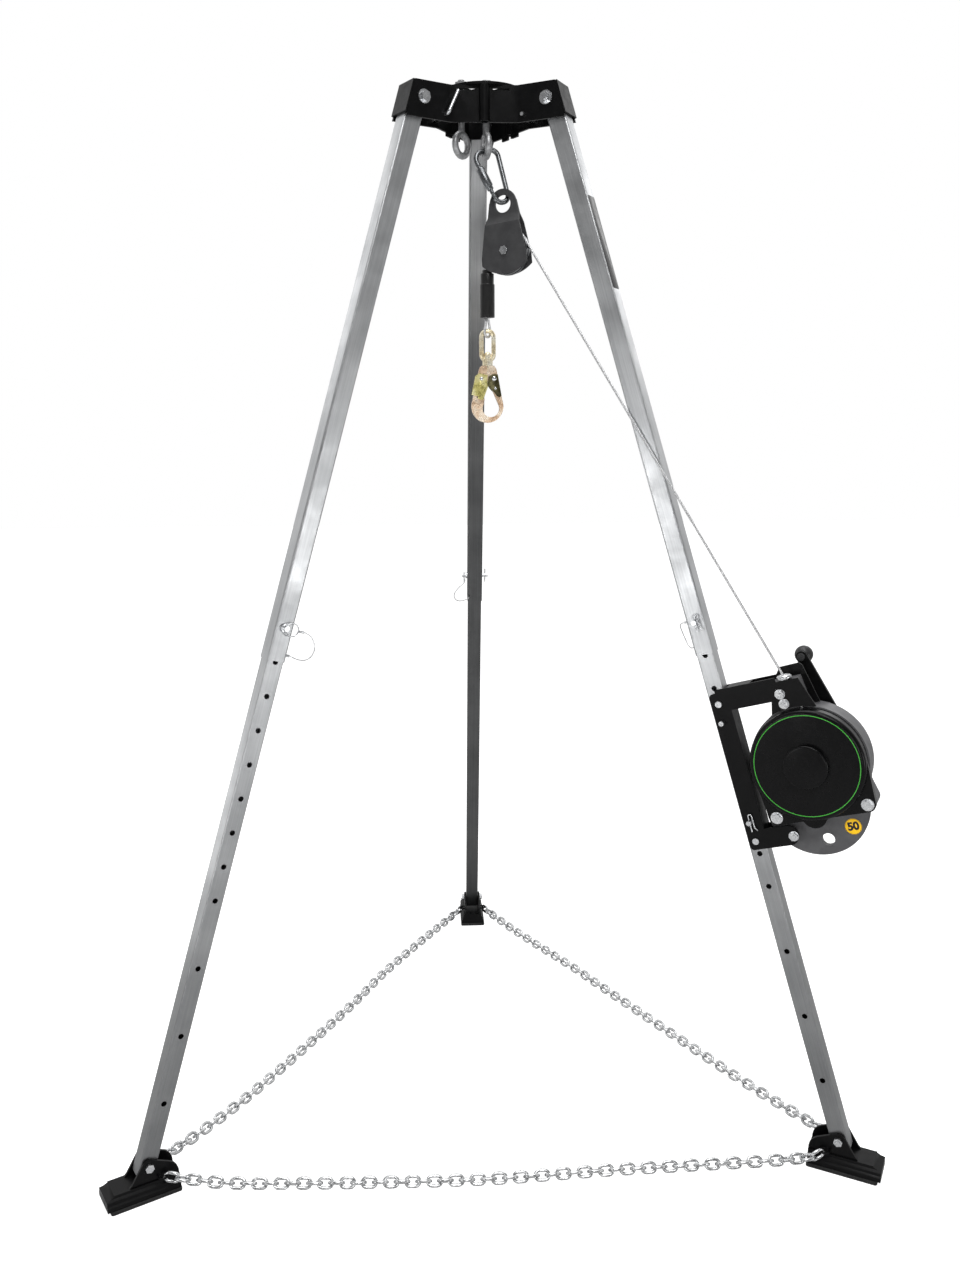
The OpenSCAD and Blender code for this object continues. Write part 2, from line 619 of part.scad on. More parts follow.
module in_hook() on_fall() translate([0, 0, hook_top]) children();
module hook_body() color(gold) in_hook() difference() {
    union() {
        bar_y([-1, -82], hook_w / 2, [0, -14], 19, -hook_t / 2, hook_t / 2);
        intersection() {
            bar_y([-1, -82], hook_w / 2, [0, -14], 19, -bow_t / 2, bow_t / 2);
            slab_y(-20, 20) polygon([[-45, -74], [-16, -79], [8, -70], [45, -66], [45, -130], [-45, -130]]);
        }
    }
    bar_y([6.4, -86], 17.5, [4, -50], 5, -20, 20);
    slab_y(-20, 20)
        polygon([[-45, -31], [7, -31], [8, -50], [0, -68], [-22.8, -64], [-22.8, -54], [-45, -50]]);
    translate([-30, -20, 0]) cube([60, 40, 30]);
    translate([0, 0, -14]) cylinder(d = stem_d + slip, h = 30);
    at(gate_pivot[0], gate_pivot[1]) rod_y(5 + slip, -20, 20);
    at(lever_pivot[0], lever_pivot[1]) rod_y(5 + slip, -20, 20);
}
side_t = 2.2;
gate_y = hook_t / 2 + 0.3;
lever_y = gate_y + side_t + 0.3;
module hook_gate() color(gold) in_hook() {
    for (s = [0, 1]) mirror([0, s, 0]) {
        slab_y(gate_y, gate_y + side_t)
            polygon([[-18.6, -15], [-1, -19], [-1, -38.6], [-17.5, -61.3], [-33.2, -58], [-25.4, -20.4]]);
        slab_y(gate_y, gate_y + 0.5) polygon([[-20, -46], [-4, -46], [-8, -62], [-11, -69], [-21, -66]]);
        at(gate_pivot[0], gate_pivot[1]) rod_y(8, gate_y + 1, gate_y + side_t + 1.2);
    }
    slab_y(-gate_y - 0.7, gate_y + 0.7)
        polygon([[-22, -36], [-4, -36], [1, -40], [-8, -64], [-20, -60], [-22, -56]]);
    at(gate_pivot[0], gate_pivot[1]) rod_y(5, -gate_y - side_t, gate_y + side_t);
}
module hook_lever() color(black) in_hook() {
    for (s = [0, 1]) mirror([0, s, 0]) {
        slab_y(lever_y, lever_y + side_t)
            polygon([[1, -22], [12, -16.5], [20.5, -18], [28, -60], [24, -64], [18.8, -61.3], [3.5, -44],
                [0, -38]]);
        at(lever_pivot[0], lever_pivot[1]) rod_y(9, lever_y + 1, lever_y + side_t + 1.4);
        at(15.4, -45.4) rod_y(5, lever_y + 1, lever_y + side_t + 1);
    }
    at(lever_pivot[0], lever_pivot[1]) rod_y(5, -lever_y - side_t, lever_y + side_t);
}

// Winch, drawn in the right leg's own frame: x outwards, y across, z up the leg
arm_in = inner_w / 2 + 0.5;
arm_t = 4.3;
arm_out = arm_in + arm_t;
bracket_top = -1205;
bracket_low = -1530;
bracket_x0 = -14;
bracket_x1 = 24;
web_t = 4.5;
arm_top = -1198;
arm_low = -1243;
neck_bolts = [[125, -1231], [128, -1251]];
low_bolt = [78, -1512];
leg_pins = [-pin_s - 3 * hole_pitch, -pin_s - 6 * hole_pitch];
rivets = [[2, -1227], [1, -1512]];
cover_bolts = [[56, -1470], [232, -1470]];
neck_low = [[186, -1267], [142, -1267], [97, -1276], [105, arm_low]];
neck_front = concat([[110, -1207], [166, -1207]], neck_low);
neck_back = concat([[110, -1207], [127, -1185], [166, -1184], [171, -1190]], neck_low);
module bracket_side() {
    round_rect(bracket_x0, bracket_low, bracket_x1, bracket_top, 8);
    translate([0, arm_low]) square([122, arm_top - arm_low]);
    strap([20, -1510], 20, [68, -1510], 20);
}
module winch_bracket() color(black) on_leg(RIGHT) difference() {
    union() {
        slab_y(arm_in, arm_out) {
            bracket_side();
            polygon(neck_back);
        }
        slab_y(-arm_out, -arm_in) {
            bracket_side();
            polygon(neck_front);
        }
        translate([bracket_x1 - web_t, -arm_out, bracket_low + 8])
            cube([web_t, 2 * arm_out, bracket_top - bracket_low - 16]);
        translate([bracket_x1 - 1, -arm_out, arm_top - 4]) cube([48, 2 * arm_out, 4]);
    }
    at(drum_at[0], drum_at[1]) rod_y(2 * housing_r + 3, -60, 60);
    for (z = leg_pins) at(0, z) rod_y(pin_d + free, -60, 60);
    for (p = concat(neck_bolts, [low_bolt])) at(p[0], p[1]) rod_y(8 + free, -60, 60);
    for (p = rivets) at(p[0], p[1]) rod_y(8 + free, -60, 60);
}

// Through bolts, leg pins with a hairpin clip, rivets and cover bolts
module through_bolt(p, half) at(p[0], p[1]) {
    rod_y(8, -half - 10, half);
    hex_y(13, half, half + 5);
    difference() {
        union() {
            rod_y(20, -half - 2, -half);
            hex_y(15, -half - 8, -half - 1);
        }
        rod_y(8 + free, -80, 0);
    }
}
module winch_bolts() color(zinc) on_leg(RIGHT) {
    for (p = concat(neck_bolts, [low_bolt])) through_bolt(p, arm_out);
    for (z = leg_pins) difference() {
        at(0, z) {
            rod_y(pin_d, -arm_out - 14, arm_out + 2);
            rod_y(16, arm_out, arm_out + 5);
        }
        translate([0, clip_y, z]) cylinder(d = clip_wire + 0.8, h = 30, center = true);
    }
    translate([0, clip_y, leg_pins[1]]) hairpin();
    for (p = rivets, s = [0, 180]) at(p[0], p[1]) rotate([0, 0, s]) {
        rod_y(8, arm_in + 0.2, arm_out);
        rod_y(13, arm_out, arm_out + 4);
    }
    for (p = cover_bolts) at(p[0], p[1]) {
        rod_y(9, -cover_flange, 3);
        rod_y(24, -cover_flange - 2, -cover_flange);
        hex_y(17, -cover_flange - 8, -cover_flange - 1);
    }
}

// Housing: a cup round the drum, a neck under the arm, a lower lobe, and a boss for the crank
cup_y0 = -10;
cup_y1 = 40;
cup_wall = 6;
cavity_r = 105;
lobe_at = [130, -1466];
lobe_r = 100;
lobe_y0 = 4;
lobe_y1 = 17.4;
lobe_hole = [135, -1536];
lobe_hole_d = 25;
crank_angle = 31.4;
crank_at = drum_at + gear_module * (drum_teeth + pinion_teeth) / 2 * [cos(crank_angle), sin(crank_angle)];
crank_d = 14;
shaft_d = 16;
boss_y1 = 50;
module winch_housing() color(grey) on_leg(RIGHT) difference() {
    union() {
        at(drum_at[0], drum_at[1]) rod_y(2 * housing_r, cup_y0, cup_y1);
        at(drum_at[0], drum_at[1]) rod_y(170, cup_y1 - 1, cup_y1 + 8);
        at(crank_at[0], crank_at[1]) rod_y(40, cup_y1, boss_y1);
        slab_y(lobe_y0, lobe_y1) strap(drum_at, housing_r, lobe_at, lobe_r);
        slab_y(-lobe_y1, lobe_y1) polygon([[112, -1206.7], [164, -1206.7], [170, -1262], [112, -1262]]);
        slab_y(cup_y0, lobe_y1) polygon([[112, -1250], [168, -1250], [172, -1290], [112, -1290]]);
        slab_y(cup_y0, cup_y1) for (p = cover_bolts) strap(drum_at, housing_r - 30, p, 14);
    }
    at(drum_at[0], drum_at[1]) rod_y(2 * cavity_r, cup_y0 - 1, cup_y1 - cup_wall);
    at(drum_at[0], drum_at[1]) rod_y(shaft_d + free, 0, 80);
    at(crank_at[0], crank_at[1]) rod_y(crank_d + slip, 0, 80);
    at(lobe_hole[0], lobe_hole[1]) rod_y(lobe_hole_d, -80, 80);
    for (p = concat(neck_bolts, [low_bolt])) at(p[0], p[1]) rod_y(8 + free, -80, 80);
    for (p = cover_bolts) at(p[0], p[1]) rod_y(9 + free, -80, 8);
    rope_bore();
}
module rope_bore() translate(guide_at) rotate([0, acos(leg_dir[2]), atan2(leg_dir[1], leg_dir[0])])
    translate([0, 0, -30]) cylinder(d = 2 * rope_d, h = 130);

// Front cover: a dish with a raised middle cup and ears for its bolts
dish_h = 30;
cup_h = 42;
cup_r = 43;
cover_flange = 26;
module dish_profile(r, h, edge) {
    square([r - edge, h]);
    square([r, h - edge]);
    translate([r - edge, h - edge]) circle(edge);
}
module on_cover() at(drum_at[0], drum_at[1]) translate([0, cup_y0, 0]) rotate([90, 0, 0]) children();
module winch_cover() color(black) on_leg(RIGHT) difference() {
    union() {
        on_cover() rotate_extrude($fn = 96) dish_profile(cover_r, dish_h, 8);
        on_cover() rotate_extrude($fn = 96) dish_profile(cup_r, cup_h, 4);
        slab_y(-cover_flange, cup_y0) {
            for (p = cover_bolts) strap(drum_at, cover_r, p, 15);
            strap(drum_at, 80, [128, -1478], 24);
        }
    }
    at(drum_at[0], drum_at[1]) rod_y(2 * cavity_r, cup_y0 - dish_h + 4, cup_y0 + 1);
    at(drum_at[0], drum_at[1]) rod_y(2 * cup_r - 8, cup_y0 - cup_h + 4, cup_y0 + 1);
    for (p = cover_bolts) at(p[0], p[1]) rod_y(9 + free, -80, 8);
    rope_bore();
}

// Drum with its gear, on a fixed shaft, driven by the crank pinion
module on_drum() on_leg(RIGHT) at(drum_at[0], drum_at[1]) children();
module on_crank() on_leg(RIGHT) at(crank_at[0], crank_at[1]) children();
function involute(a) = tan(a) * 180 / PI - a;
module gear_outline(teeth, phase) {
    rp = gear_module * teeth / 2;
    rb = rp * cos(20);
    tip = rp + 0.75 * gear_module;
    root = rp - 1.15 * gear_module;
    half = 90 / teeth + involute(20) - 0.2 * 180 / PI / rp;
    radii = [max(root, rb), (max(root, rb) + tip) / 2, tip];
    angles = [for (r = radii) half - involute(acos(rb / r))];
    polygon([for (k = [0 : teeth - 1]) let (c = phase + 360 * k / teeth) each concat(
        [root * [cos(c - half), sin(c - half)]],
        [for (i = [0 : 2]) radii[i] * [cos(c - angles[i]), sin(c - angles[i])]],
        [for (i = [2 : -1 : 0]) radii[i] * [cos(c + angles[i]), sin(c + angles[i])]],
        [root * [cos(c + half), sin(c + half)]])]);
}
gear_y0 = drum_y1;
gear_y1 = 28;
module winch_drum() color(alloy) on_drum() difference() {
    union() {
        rod_y(2 * core_r, drum_y0, drum_y1);
        rod_y(28, -34.5, drum_y0);
        for (y = [drum_y0, drum_y1 - flange_t]) rod_y(200, y, y + flange_t);
        slab_y(gear_y0 - 0.5, gear_y1) gear_outline(drum_teeth, crank_angle);
    }
    rod_y(shaft_d + slip, -60, 60);
}
module drum_shaft() color(steel) on_drum() rod_y(shaft_d, -35, cup_y1 - 1);
spring_turns = 6;
spring_r0 = 18;
spring_r1 = 96;
spring_t = 3;
spring_step = 15;
function spiral_r(a) = spring_r0 + (spring_r1 - spring_r0) * a / (360 * spring_turns);
function spiral_pt(a, grow) = (spiral_r(a) + grow) * [cos(a), sin(a)];
module power_spring() color(steel) on_drum() slab_y(-33, -23) polygon(concat(
    [for (a = [0 : spring_step : 360 * spring_turns]) spiral_pt(a, 0)],
    [for (a = [360 * spring_turns : -spring_step : 0]) spiral_pt(a, spring_t)]));

// Crank
knob_at = [165, -1179];
arm_y0 = 54;
arm_y1 = 62;
spindle_d = 9;
module crank_pinion() color(steel) on_crank() {
    slab_y(gear_y0 + 0.4, gear_y1) gear_outline(pinion_teeth, crank_angle + 180 + 180 / pinion_teeth);
    rod_y(crank_d, gear_y1 - 1, arm_y1 + 1);
    hex_y(20, arm_y1, arm_y1 + 6);
}
module crank_arm() color(black) on_leg(RIGHT) difference() {
    bar_y(crank_at, 17, knob_at, 11, arm_y0, arm_y1);
    at(crank_at[0], crank_at[1]) rod_y(crank_d + slip, 0, 100);
    at(knob_at[0], knob_at[1]) rod_y(spindle_d + slip, 0, 100);
}
module crank_knob() color(black) on_leg(RIGHT) at(knob_at[0], knob_at[1]) {
    rod_y(spindle_d, arm_y0 - 8, arm_y1 + 10);
    rod_y(15, arm_y0 - 8, arm_y0 - 0.4);
    intersection() {
        translate([0, arm_y1 + 17, 0]) sphere(18);
        rod_y(60, arm_y1 + 2, arm_y1 + 32);
    }
}

// Cable guide ferrule on top of the neck
module cable_guide() color(zinc) on_leg(RIGHT) translate(guide_at) torus(10, 5);

side_plate(LEFT);  // head_plate_front
side_plate(RIGHT, true);  // head_plate_right
side_plate(REAR, true);  // head_plate_left
head_end_caps();
head_top_plate();
pivot_bolts();
head_pins();
eyebolts();
leg_upper(LEFT);  // leg_upper_left
leg_upper(RIGHT);  // leg_upper_right
leg_upper(REAR);  // leg_upper_rear
leg_lower(LEFT);  // leg_lower_left
leg_lower(RIGHT);  // leg_lower_right
leg_lower(REAR);  // leg_lower_rear
lock_pin(LEFT);  // lock_pin_left
lock_pin(RIGHT);  // lock_pin_right
lock_pin(REAR);  // lock_pin_rear
pin_clip(LEFT);  // pin_clip_left
pin_clip(RIGHT);  // pin_clip_right
pin_clip(REAR);  // pin_clip_rear
lanyard(LEFT);  // lanyard_left
lanyard(RIGHT);  // lanyard_right
lanyard(REAR);  // lanyard_rear
foot_bracket(LEFT);  // foot_bracket_left
foot_bracket(RIGHT);  // foot_bracket_right
foot_bracket(REAR);  // foot_bracket_rear
foot_sole(LEFT);  // foot_sole_left
foot_sole(RIGHT);  // foot_sole_right
foot_sole(REAR);  // foot_sole_rear
foot_bolt(LEFT);  // foot_bolt_left
foot_bolt(RIGHT);  // foot_bolt_right
foot_bolt(REAR);  // foot_bolt_rear
chain(LEFT);  // chain_front
chain(RIGHT);  // chain_right
chain(REAR);  // chain_left
carabiner_body();
carabiner_gate();
carabiner_sleeve();
pulley_cheeks();
pulley_sheave();
pulley_axle();
cable_run();
cable_fall();
cable_sleeve();
cable_eye();
hook_eye();
hook_body();
hook_gate();
hook_lever();
winch_bracket();
winch_bolts();
winch_housing();
winch_cover();
winch_drum();
drum_shaft();
power_spring();
crank_pinion();
crank_arm();
crank_knob();
cable_guide();
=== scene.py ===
"""Looks for the rescue tripod: materials, chains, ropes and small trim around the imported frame."""
import json
import math
import random

import bmesh
import bpy
import numpy as np
from mathutils import Matrix, Vector

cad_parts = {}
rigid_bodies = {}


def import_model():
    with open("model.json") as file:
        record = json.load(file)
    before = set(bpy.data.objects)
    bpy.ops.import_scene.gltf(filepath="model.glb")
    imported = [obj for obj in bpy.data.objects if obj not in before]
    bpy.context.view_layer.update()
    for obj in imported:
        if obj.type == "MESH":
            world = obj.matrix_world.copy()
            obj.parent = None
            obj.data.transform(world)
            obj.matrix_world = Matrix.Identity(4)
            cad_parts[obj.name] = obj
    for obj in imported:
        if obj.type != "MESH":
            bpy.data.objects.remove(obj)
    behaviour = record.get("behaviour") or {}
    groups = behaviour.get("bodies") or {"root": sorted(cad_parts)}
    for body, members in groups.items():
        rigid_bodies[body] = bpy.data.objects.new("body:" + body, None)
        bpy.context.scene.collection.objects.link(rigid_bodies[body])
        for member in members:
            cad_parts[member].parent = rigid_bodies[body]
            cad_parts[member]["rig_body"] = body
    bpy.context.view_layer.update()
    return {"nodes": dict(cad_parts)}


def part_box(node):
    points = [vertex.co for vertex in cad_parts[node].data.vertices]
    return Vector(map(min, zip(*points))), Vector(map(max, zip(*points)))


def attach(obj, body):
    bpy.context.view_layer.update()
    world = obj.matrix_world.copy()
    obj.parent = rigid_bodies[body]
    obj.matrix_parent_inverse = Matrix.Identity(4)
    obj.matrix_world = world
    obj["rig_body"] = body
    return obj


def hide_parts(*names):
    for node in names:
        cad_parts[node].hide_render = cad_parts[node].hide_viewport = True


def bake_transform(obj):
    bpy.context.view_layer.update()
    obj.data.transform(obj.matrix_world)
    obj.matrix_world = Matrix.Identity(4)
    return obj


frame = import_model()
NODES = frame["nodes"]
random.seed(7)

# The same sizes as the CAD source, in metres
MM = 0.001
LEG_TILT = math.radians(17.6)
LEG_LENGTH = 2.150
PIVOT_R = 0.158
FOOT_BOLT_H = 0.068
PIVOT_Z = FOOT_BOLT_H + LEG_LENGTH * math.cos(LEG_TILT)
FOOT_R = PIVOT_R + LEG_LENGTH * math.sin(LEG_TILT)
FOOT_REACH = FOOT_R + 0.086
AXIS_Y = -(FOOT_REACH * 0.5 - 0.035 * math.sin(math.radians(60))) / 2
AZIMUTH = {"rear": 90, "left": 210, "right": 330}
LEG_BODY = {"rear": "leg_rear", "left": "leg_left", "right": "leg_right"}
SHANK_BODY = {"rear": "shank_rear", "left": "shank_left", "right": "leg_right"}
PIN_S = 1.057


def on_arm(side):
    """The frame of one arm of the head: x outwards from the axis, z up, at the pivot level."""
    return Matrix.Translation((0, AXIS_Y, PIVOT_Z)) @ Matrix.Rotation(math.radians(AZIMUTH[side]), 4, "Z")


def on_leg(side):
    """The frame of one leg: x outwards, y across, z up the leg, with its origin at the pivot level."""
    return on_arm(side) @ Matrix.Translation((PIVOT_R, 0, 0)) @ Matrix.Rotation(-LEG_TILT, 4, "Y")


def on_foot(side):
    """The frame of one foot: x outwards, z from the floor."""
    turn = Matrix.Rotation(math.radians(AZIMUTH[side]), 4, "Z")
    return Matrix.Translation((0, AXIS_Y, 0)) @ turn @ Matrix.Translation((FOOT_R, 0, 0))


# Camera, at the photograph's place
FOCAL_PX = 1113.2
IMAGE_H = 1280
SENSOR = 36.0
CAMERA_AT = (-0.1312, -2.4015 + AXIS_Y, 1.5004)
CAMERA_YAW = -0.0501
CAMERA_PITCH = -0.1931
CAMERA_ROLL = 0.0057


def make_camera():
    data = bpy.data.cameras.new("camera")
    data.sensor_fit = "VERTICAL"
    data.sensor_height = SENSOR
    data.lens = SENSOR * FOCAL_PX / IMAGE_H
    camera = bpy.data.objects.new("camera", data)
    bpy.context.scene.collection.objects.link(camera)
    turn = Matrix.Rotation(CAMERA_YAW, 4, "Z") @ Matrix.Rotation(CAMERA_PITCH, 4, "X")
    turn = turn @ Matrix.Rotation(CAMERA_ROLL, 4, "Y") @ Matrix.Rotation(math.radians(90), 4, "X")
    camera.matrix_world = Matrix.Translation(CAMERA_AT) @ turn
    bpy.context.scene.camera = camera


make_camera()


# Mesh helpers
def new_object(name, verts, faces, material=None, smooth=True):
    mesh = bpy.data.meshes.new(name)
    mesh.from_pydata([tuple(v) for v in verts], [], faces)
    mesh.validate()
    obj = bpy.data.objects.new(name, mesh)
    bpy.context.scene.collection.objects.link(obj)
    for p in mesh.polygons:
        p.use_smooth = smooth
    if material:
        mesh.materials.append(material)
    return obj


def smooth_route(points, per_span=6):
    """A Catmull-Rom curve through the points."""
    pts = [Vector(p) for p in points]
    pts = [pts[0] * 2 - pts[1]] + pts + [pts[-1] * 2 - pts[-2]]
    out = []
    for i in range(1, len(pts) - 2):
        a, b, c, d = pts[i - 1:i + 3]
        for k in range(per_span):
            t = k / per_span
            out.append(0.5 * (2 * b + (c - a) * t + (2 * a - 5 * b + 4 * c - d) * t * t
                              + (3 * b - a - 3 * c + d) * t ** 3))
    return out + [pts[-2]]


def resample(points, step):
    """Points along a route, evenly spaced."""
    pts = [Vector(p) for p in points]
    runs = [(q - p).length for p, q in zip(pts, pts[1:])]
    total = sum(runs)
    count = max(2, round(total / step))
    out, i, gone = [], 0, 0.0
    for k in range(count + 1):
        want = total * k / count
        while i < len(runs) - 1 and gone + runs[i] < want:
            gone += runs[i]
            i += 1
        out.append(pts[i].lerp(pts[i + 1], min(1, (want - gone) / runs[i])))
    return out


def frames_along(points):
    """A tangent and two normals at each point, carried along without twist."""
    tangents = []
    for i in range(len(points)):
        a, b = points[max(i - 1, 0)], points[min(i + 1, len(points) - 1)]
        tangents.append((b - a).normalized())
    side = tangents[0].orthogonal().normalized()
    out = []
    for t in tangents:
        side = (side - t * side.dot(t)).normalized()
        out.append((t, side, t.cross(side)))
    return out


def tube(name, points, section, material):
    """A closed tube along points; section(i, k) gives the radius and angle of corner k of ring i."""
    verts, faces = [], []
    rings = frames_along(points)
    sides = section.sides
    for i, (p, (_, u, v)) in enumerate(zip(points, rings)):
        for k in range(sides):
            r, a = section(i, k)
            verts.append(p + (u * math.cos(a) + v * math.sin(a)) * r)
    last = (len(points) - 1) * sides
    for i in range(len(points) - 1):
        for k in range(sides):
            a, m = i * sides, (k + 1) % sides
            faces.append((a + k, a + m, a + sides + m, a + sides + k))
    faces.append(tuple(range(sides - 1, -1, -1)))
    faces.append(tuple(last + k for k in range(sides)))
    return new_object(name, verts, faces, material)


class Strands:
    """The section of a wire rope: six round strands that turn about the middle."""
    COUNT = 6
    PER_STRAND = 5

    def __init__(self, d, step, lay):
        self.d, self.turn = d, 2 * math.pi * step / lay
        self.sides = self.COUNT * self.PER_STRAND

    def __call__(self, i, k):
        a = 2 * math.pi * k / self.sides
        wedge = 2 * math.pi / self.COUNT
        off = (a + wedge / 2) % wedge - wedge / 2
        strand = self.d / 6
        r = 2 * strand * math.cos(off) + math.sqrt(max(0, strand ** 2 - (2 * strand * math.sin(off)) ** 2))
        return r, a + self.turn * i


def wire_rope(name, points, d, material, step=2.0 * MM, lay=30 * MM):
    return tube(name, resample(points, step), Strands(d, step, lay), material)


def loft(name, rings, material, close_ends=True, closed=False):
    """Faces between rings of points."""
    n = len(rings[0])
    verts = [v for ring in rings for v in ring]
    faces = []
    for i in range(len(rings) - (0 if closed else 1)):
        a, b = i * n, ((i + 1) % len(rings)) * n
        for k in range(n):
            m = (k + 1) % n
            faces.append((a + k, a + m, b + m, b + k))
    if close_ends and not closed:
        faces.append(tuple(range(n - 1, -1, -1)))
        faces.append(tuple((len(rings) - 1) * n + k for k in range(n)))
    return new_object(name, verts, faces, material)


# Node helpers for the materials
class Nodes:
    """A material and short ways to add nodes to it."""

    def __init__(self, name, color, metallic, roughness):
        self.material = bpy.data.materials.new(name)
        self.material.use_nodes = True
        self.tree = self.material.node_tree
        self.bsdf = self.tree.nodes["Principled BSDF"]
        self.bsdf.inputs["Base Color"].default_value = (*color, 1)
        self.bsdf.inputs["Metallic"].default_value = metallic
        self.bsdf.inputs["Roughness"].default_value = roughness
        self.coord = self.tree.nodes.new("ShaderNodeTexCoord").outputs["Object"]

    def add(self, kind, **settings):
        node = self.tree.nodes.new(kind)
        for key, value in settings.items():
            setattr(node, key, value)
        return node

    def link(self, a, b):
        self.tree.links.new(a, b)

    def mapped(self, scale=(1, 1, 1), turn=(0, 0, 0)):
        node = self.add("ShaderNodeMapping", vector_type="TEXTURE" if any(turn) else "POINT")
        node.inputs["Rotation"].default_value = turn
        node.inputs["Scale"].default_value = scale
        self.link(self.coord, node.inputs["Vector"])
        return node.outputs["Vector"]

    def noise(self, scale, detail=3.0, rough=0.55, vector=None):
        node = self.add("ShaderNodeTexNoise")
        node.inputs["Scale"].default_value = scale
        node.inputs["Detail"].default_value = detail
        node.inputs["Roughness"].default_value = rough
        self.link(vector or self.coord, node.inputs["Vector"])
        return node.outputs["Fac"]

    def ramp(self, fac, stops):
        node = self.add("ShaderNodeValToRGB")
        ramp = node.color_ramp
        while len(ramp.elements) < len(stops):
            ramp.elements.new(0.5)
        for element, (at, color) in zip(ramp.elements, stops):
            element.position = at
            element.color = (*color, 1) if hasattr(color, "__len__") else (color, color, color, 1)
        self.link(fac, node.inputs["Fac"])
        return node.outputs["Color"]

    def shaded(self, out, low_z, low_value, high_z):
        """The same color, darker towards the floor, where less light falls."""
        split = self.add("ShaderNodeSeparateXYZ")
        self.link(self.coord, split.inputs["Vector"])
        fall = self.add("ShaderNodeMapRange", interpolation_type="SMOOTHSTEP")
        fall.inputs["From Min"].default_value = low_z
        fall.inputs["From Max"].default_value = high_z
        fall.inputs["To Min"].default_value = low_value
        self.link(split.outputs["Z"], fall.inputs["Value"])
        times = self.add("ShaderNodeMix", data_type="RGBA", blend_type="MULTIPLY")
        times.inputs["Factor"].default_value = 1.0
        self.link(out, times.inputs["A"])
        self.link(fall.outputs["Result"], times.inputs["B"])
        return times.outputs["Result"]

    def color(self, out):
        self.link(out, self.bsdf.inputs["Base Color"])

    def rough(self, out):
        self.link(out, self.bsdf.inputs["Roughness"])

    def bump(self, height, strength, distance):
        node = self.add("ShaderNodeBump")
        node.inputs["Strength"].default_value = strength
        node.inputs["Distance"].default_value = distance
        self.link(height, node.inputs["Height"])
        old = self.bsdf.inputs["Normal"].links
        if old:
            self.link(old[0].from_socket, node.inputs["Normal"])
        self.link(node.outputs["Normal"], self.bsdf.inputs["Normal"])


def coated(name, dark, light, rough_low, rough_high, peel=0.12, gloss=0.5):
    """Powder coat: a fine orange-peel surface, faint mottling and a few rubbed places."""
    n = Nodes(name, light, 0.0, rough_high)
    n.bsdf.inputs["Specular IOR Level"].default_value = gloss
    n.color(n.ramp(n.noise(38, 4), [(0.35, dark), (0.68, light)]))
    n.rough(n.ramp(n.noise(70, 4), [(0.3, rough_low), (0.7, rough_high)]))
    n.bump(n.noise(1500, 2), peel, 0.3 * MM)
    return n.material


def plated(name, dark, light, rough_low, rough_high, scale=90):
    """Plated steel: cloudy brightness and a fine grain."""
    n = Nodes(name, light, 1.0, rough_high)
    n.color(n.ramp(n.noise(scale, 4), [(0.3, dark), (0.7, light)]))
    n.rough(n.ramp(n.noise(scale * 2.3, 4), [(0.3, rough_low), (0.7, rough_high)]))
    n.bump(n.noise(1900, 2), 0.05, 0.1 * MM)
    return n.material


def brushed(name, side, dark, light, rough_low, rough_high, shade):
    """Extruded alloy: streaks along the leg, cloudy oxide and handling marks, with a painted shade that
    darkens the color towards the floor.
    """
    n = Nodes(name, light, 1.0, rough_high)
    turn = on_leg(side).to_euler("XYZ") if side else (0, 0, 0)
    along = n.mapped((1 / 420, 1 / 420, 1 / 6), turn)
    streak = n.noise(1, 4, 0.6, along)
    cloud = n.noise(9, 5)
    base = n.ramp(streak, [(0.3, dark), (0.7, light)])
    worn = n.ramp(cloud, [(0.35, dark), (0.65, light)])
    half = n.add("ShaderNodeMix", data_type="RGBA")
    half.inputs["Factor"].default_value = 0.5
    n.link(base, half.inputs["A"])
    n.link(worn, half.inputs["B"])
    n.color(n.shaded(half.outputs["Result"], *shade))
    n.rough(n.ramp(n.noise(14, 5), [(0.3, rough_low), (0.7, rough_high)]))
    n.bump(streak, 0.10, 0.15 * MM)
    return n.material


def passivated(name, dark, middle, light):
    """Yellow-passivated zinc: a satin metal whose tint drifts in patches."""
    n = Nodes(name, middle, 0.65, 0.30)
    n.color(n.ramp(n.noise(50, 3, 0.5), [(0.32, dark), (0.48, middle), (0.66, light)]))
    n.rough(n.ramp(n.noise(150, 4), [(0.3, 0.20), (0.7, 0.40)]))
    n.bump(n.noise(1900, 2), 0.05, 0.1 * MM)
    return n.material


def grained(name, dark, light, rough_low, rough_high, grain, depth):
    """Rubber or moulded plastic with a fine grain."""
    n = Nodes(name, light, 0.0, rough_high)
    n.color(n.ramp(n.noise(45, 3), [(0.3, dark), (0.7, light)]))
    n.rough(n.ramp(n.noise(120, 3), [(0.3, rough_low), (0.7, rough_high)]))
    n.bump(n.noise(grain, 2), 0.25, depth)
    return n.material


BLACK_LOW = (0.0015, 0.0015, 0.0017)
BLACK_HIGH = (0.003, 0.003, 0.0033)
BLACK_COAT = coated("black_coat", BLACK_LOW, BLACK_HIGH, 0.32, 0.44, 0.05, 0.16)
COVER_COAT = coated("cover_coat", BLACK_LOW, BLACK_HIGH, 0.20, 0.30, 0.03, 0.17)
GREY_COAT = coated("grey_coat", (0.095, 0.095, 0.10), (0.125, 0.125, 0.13), 0.38, 0.50, 0.08, 0.4)
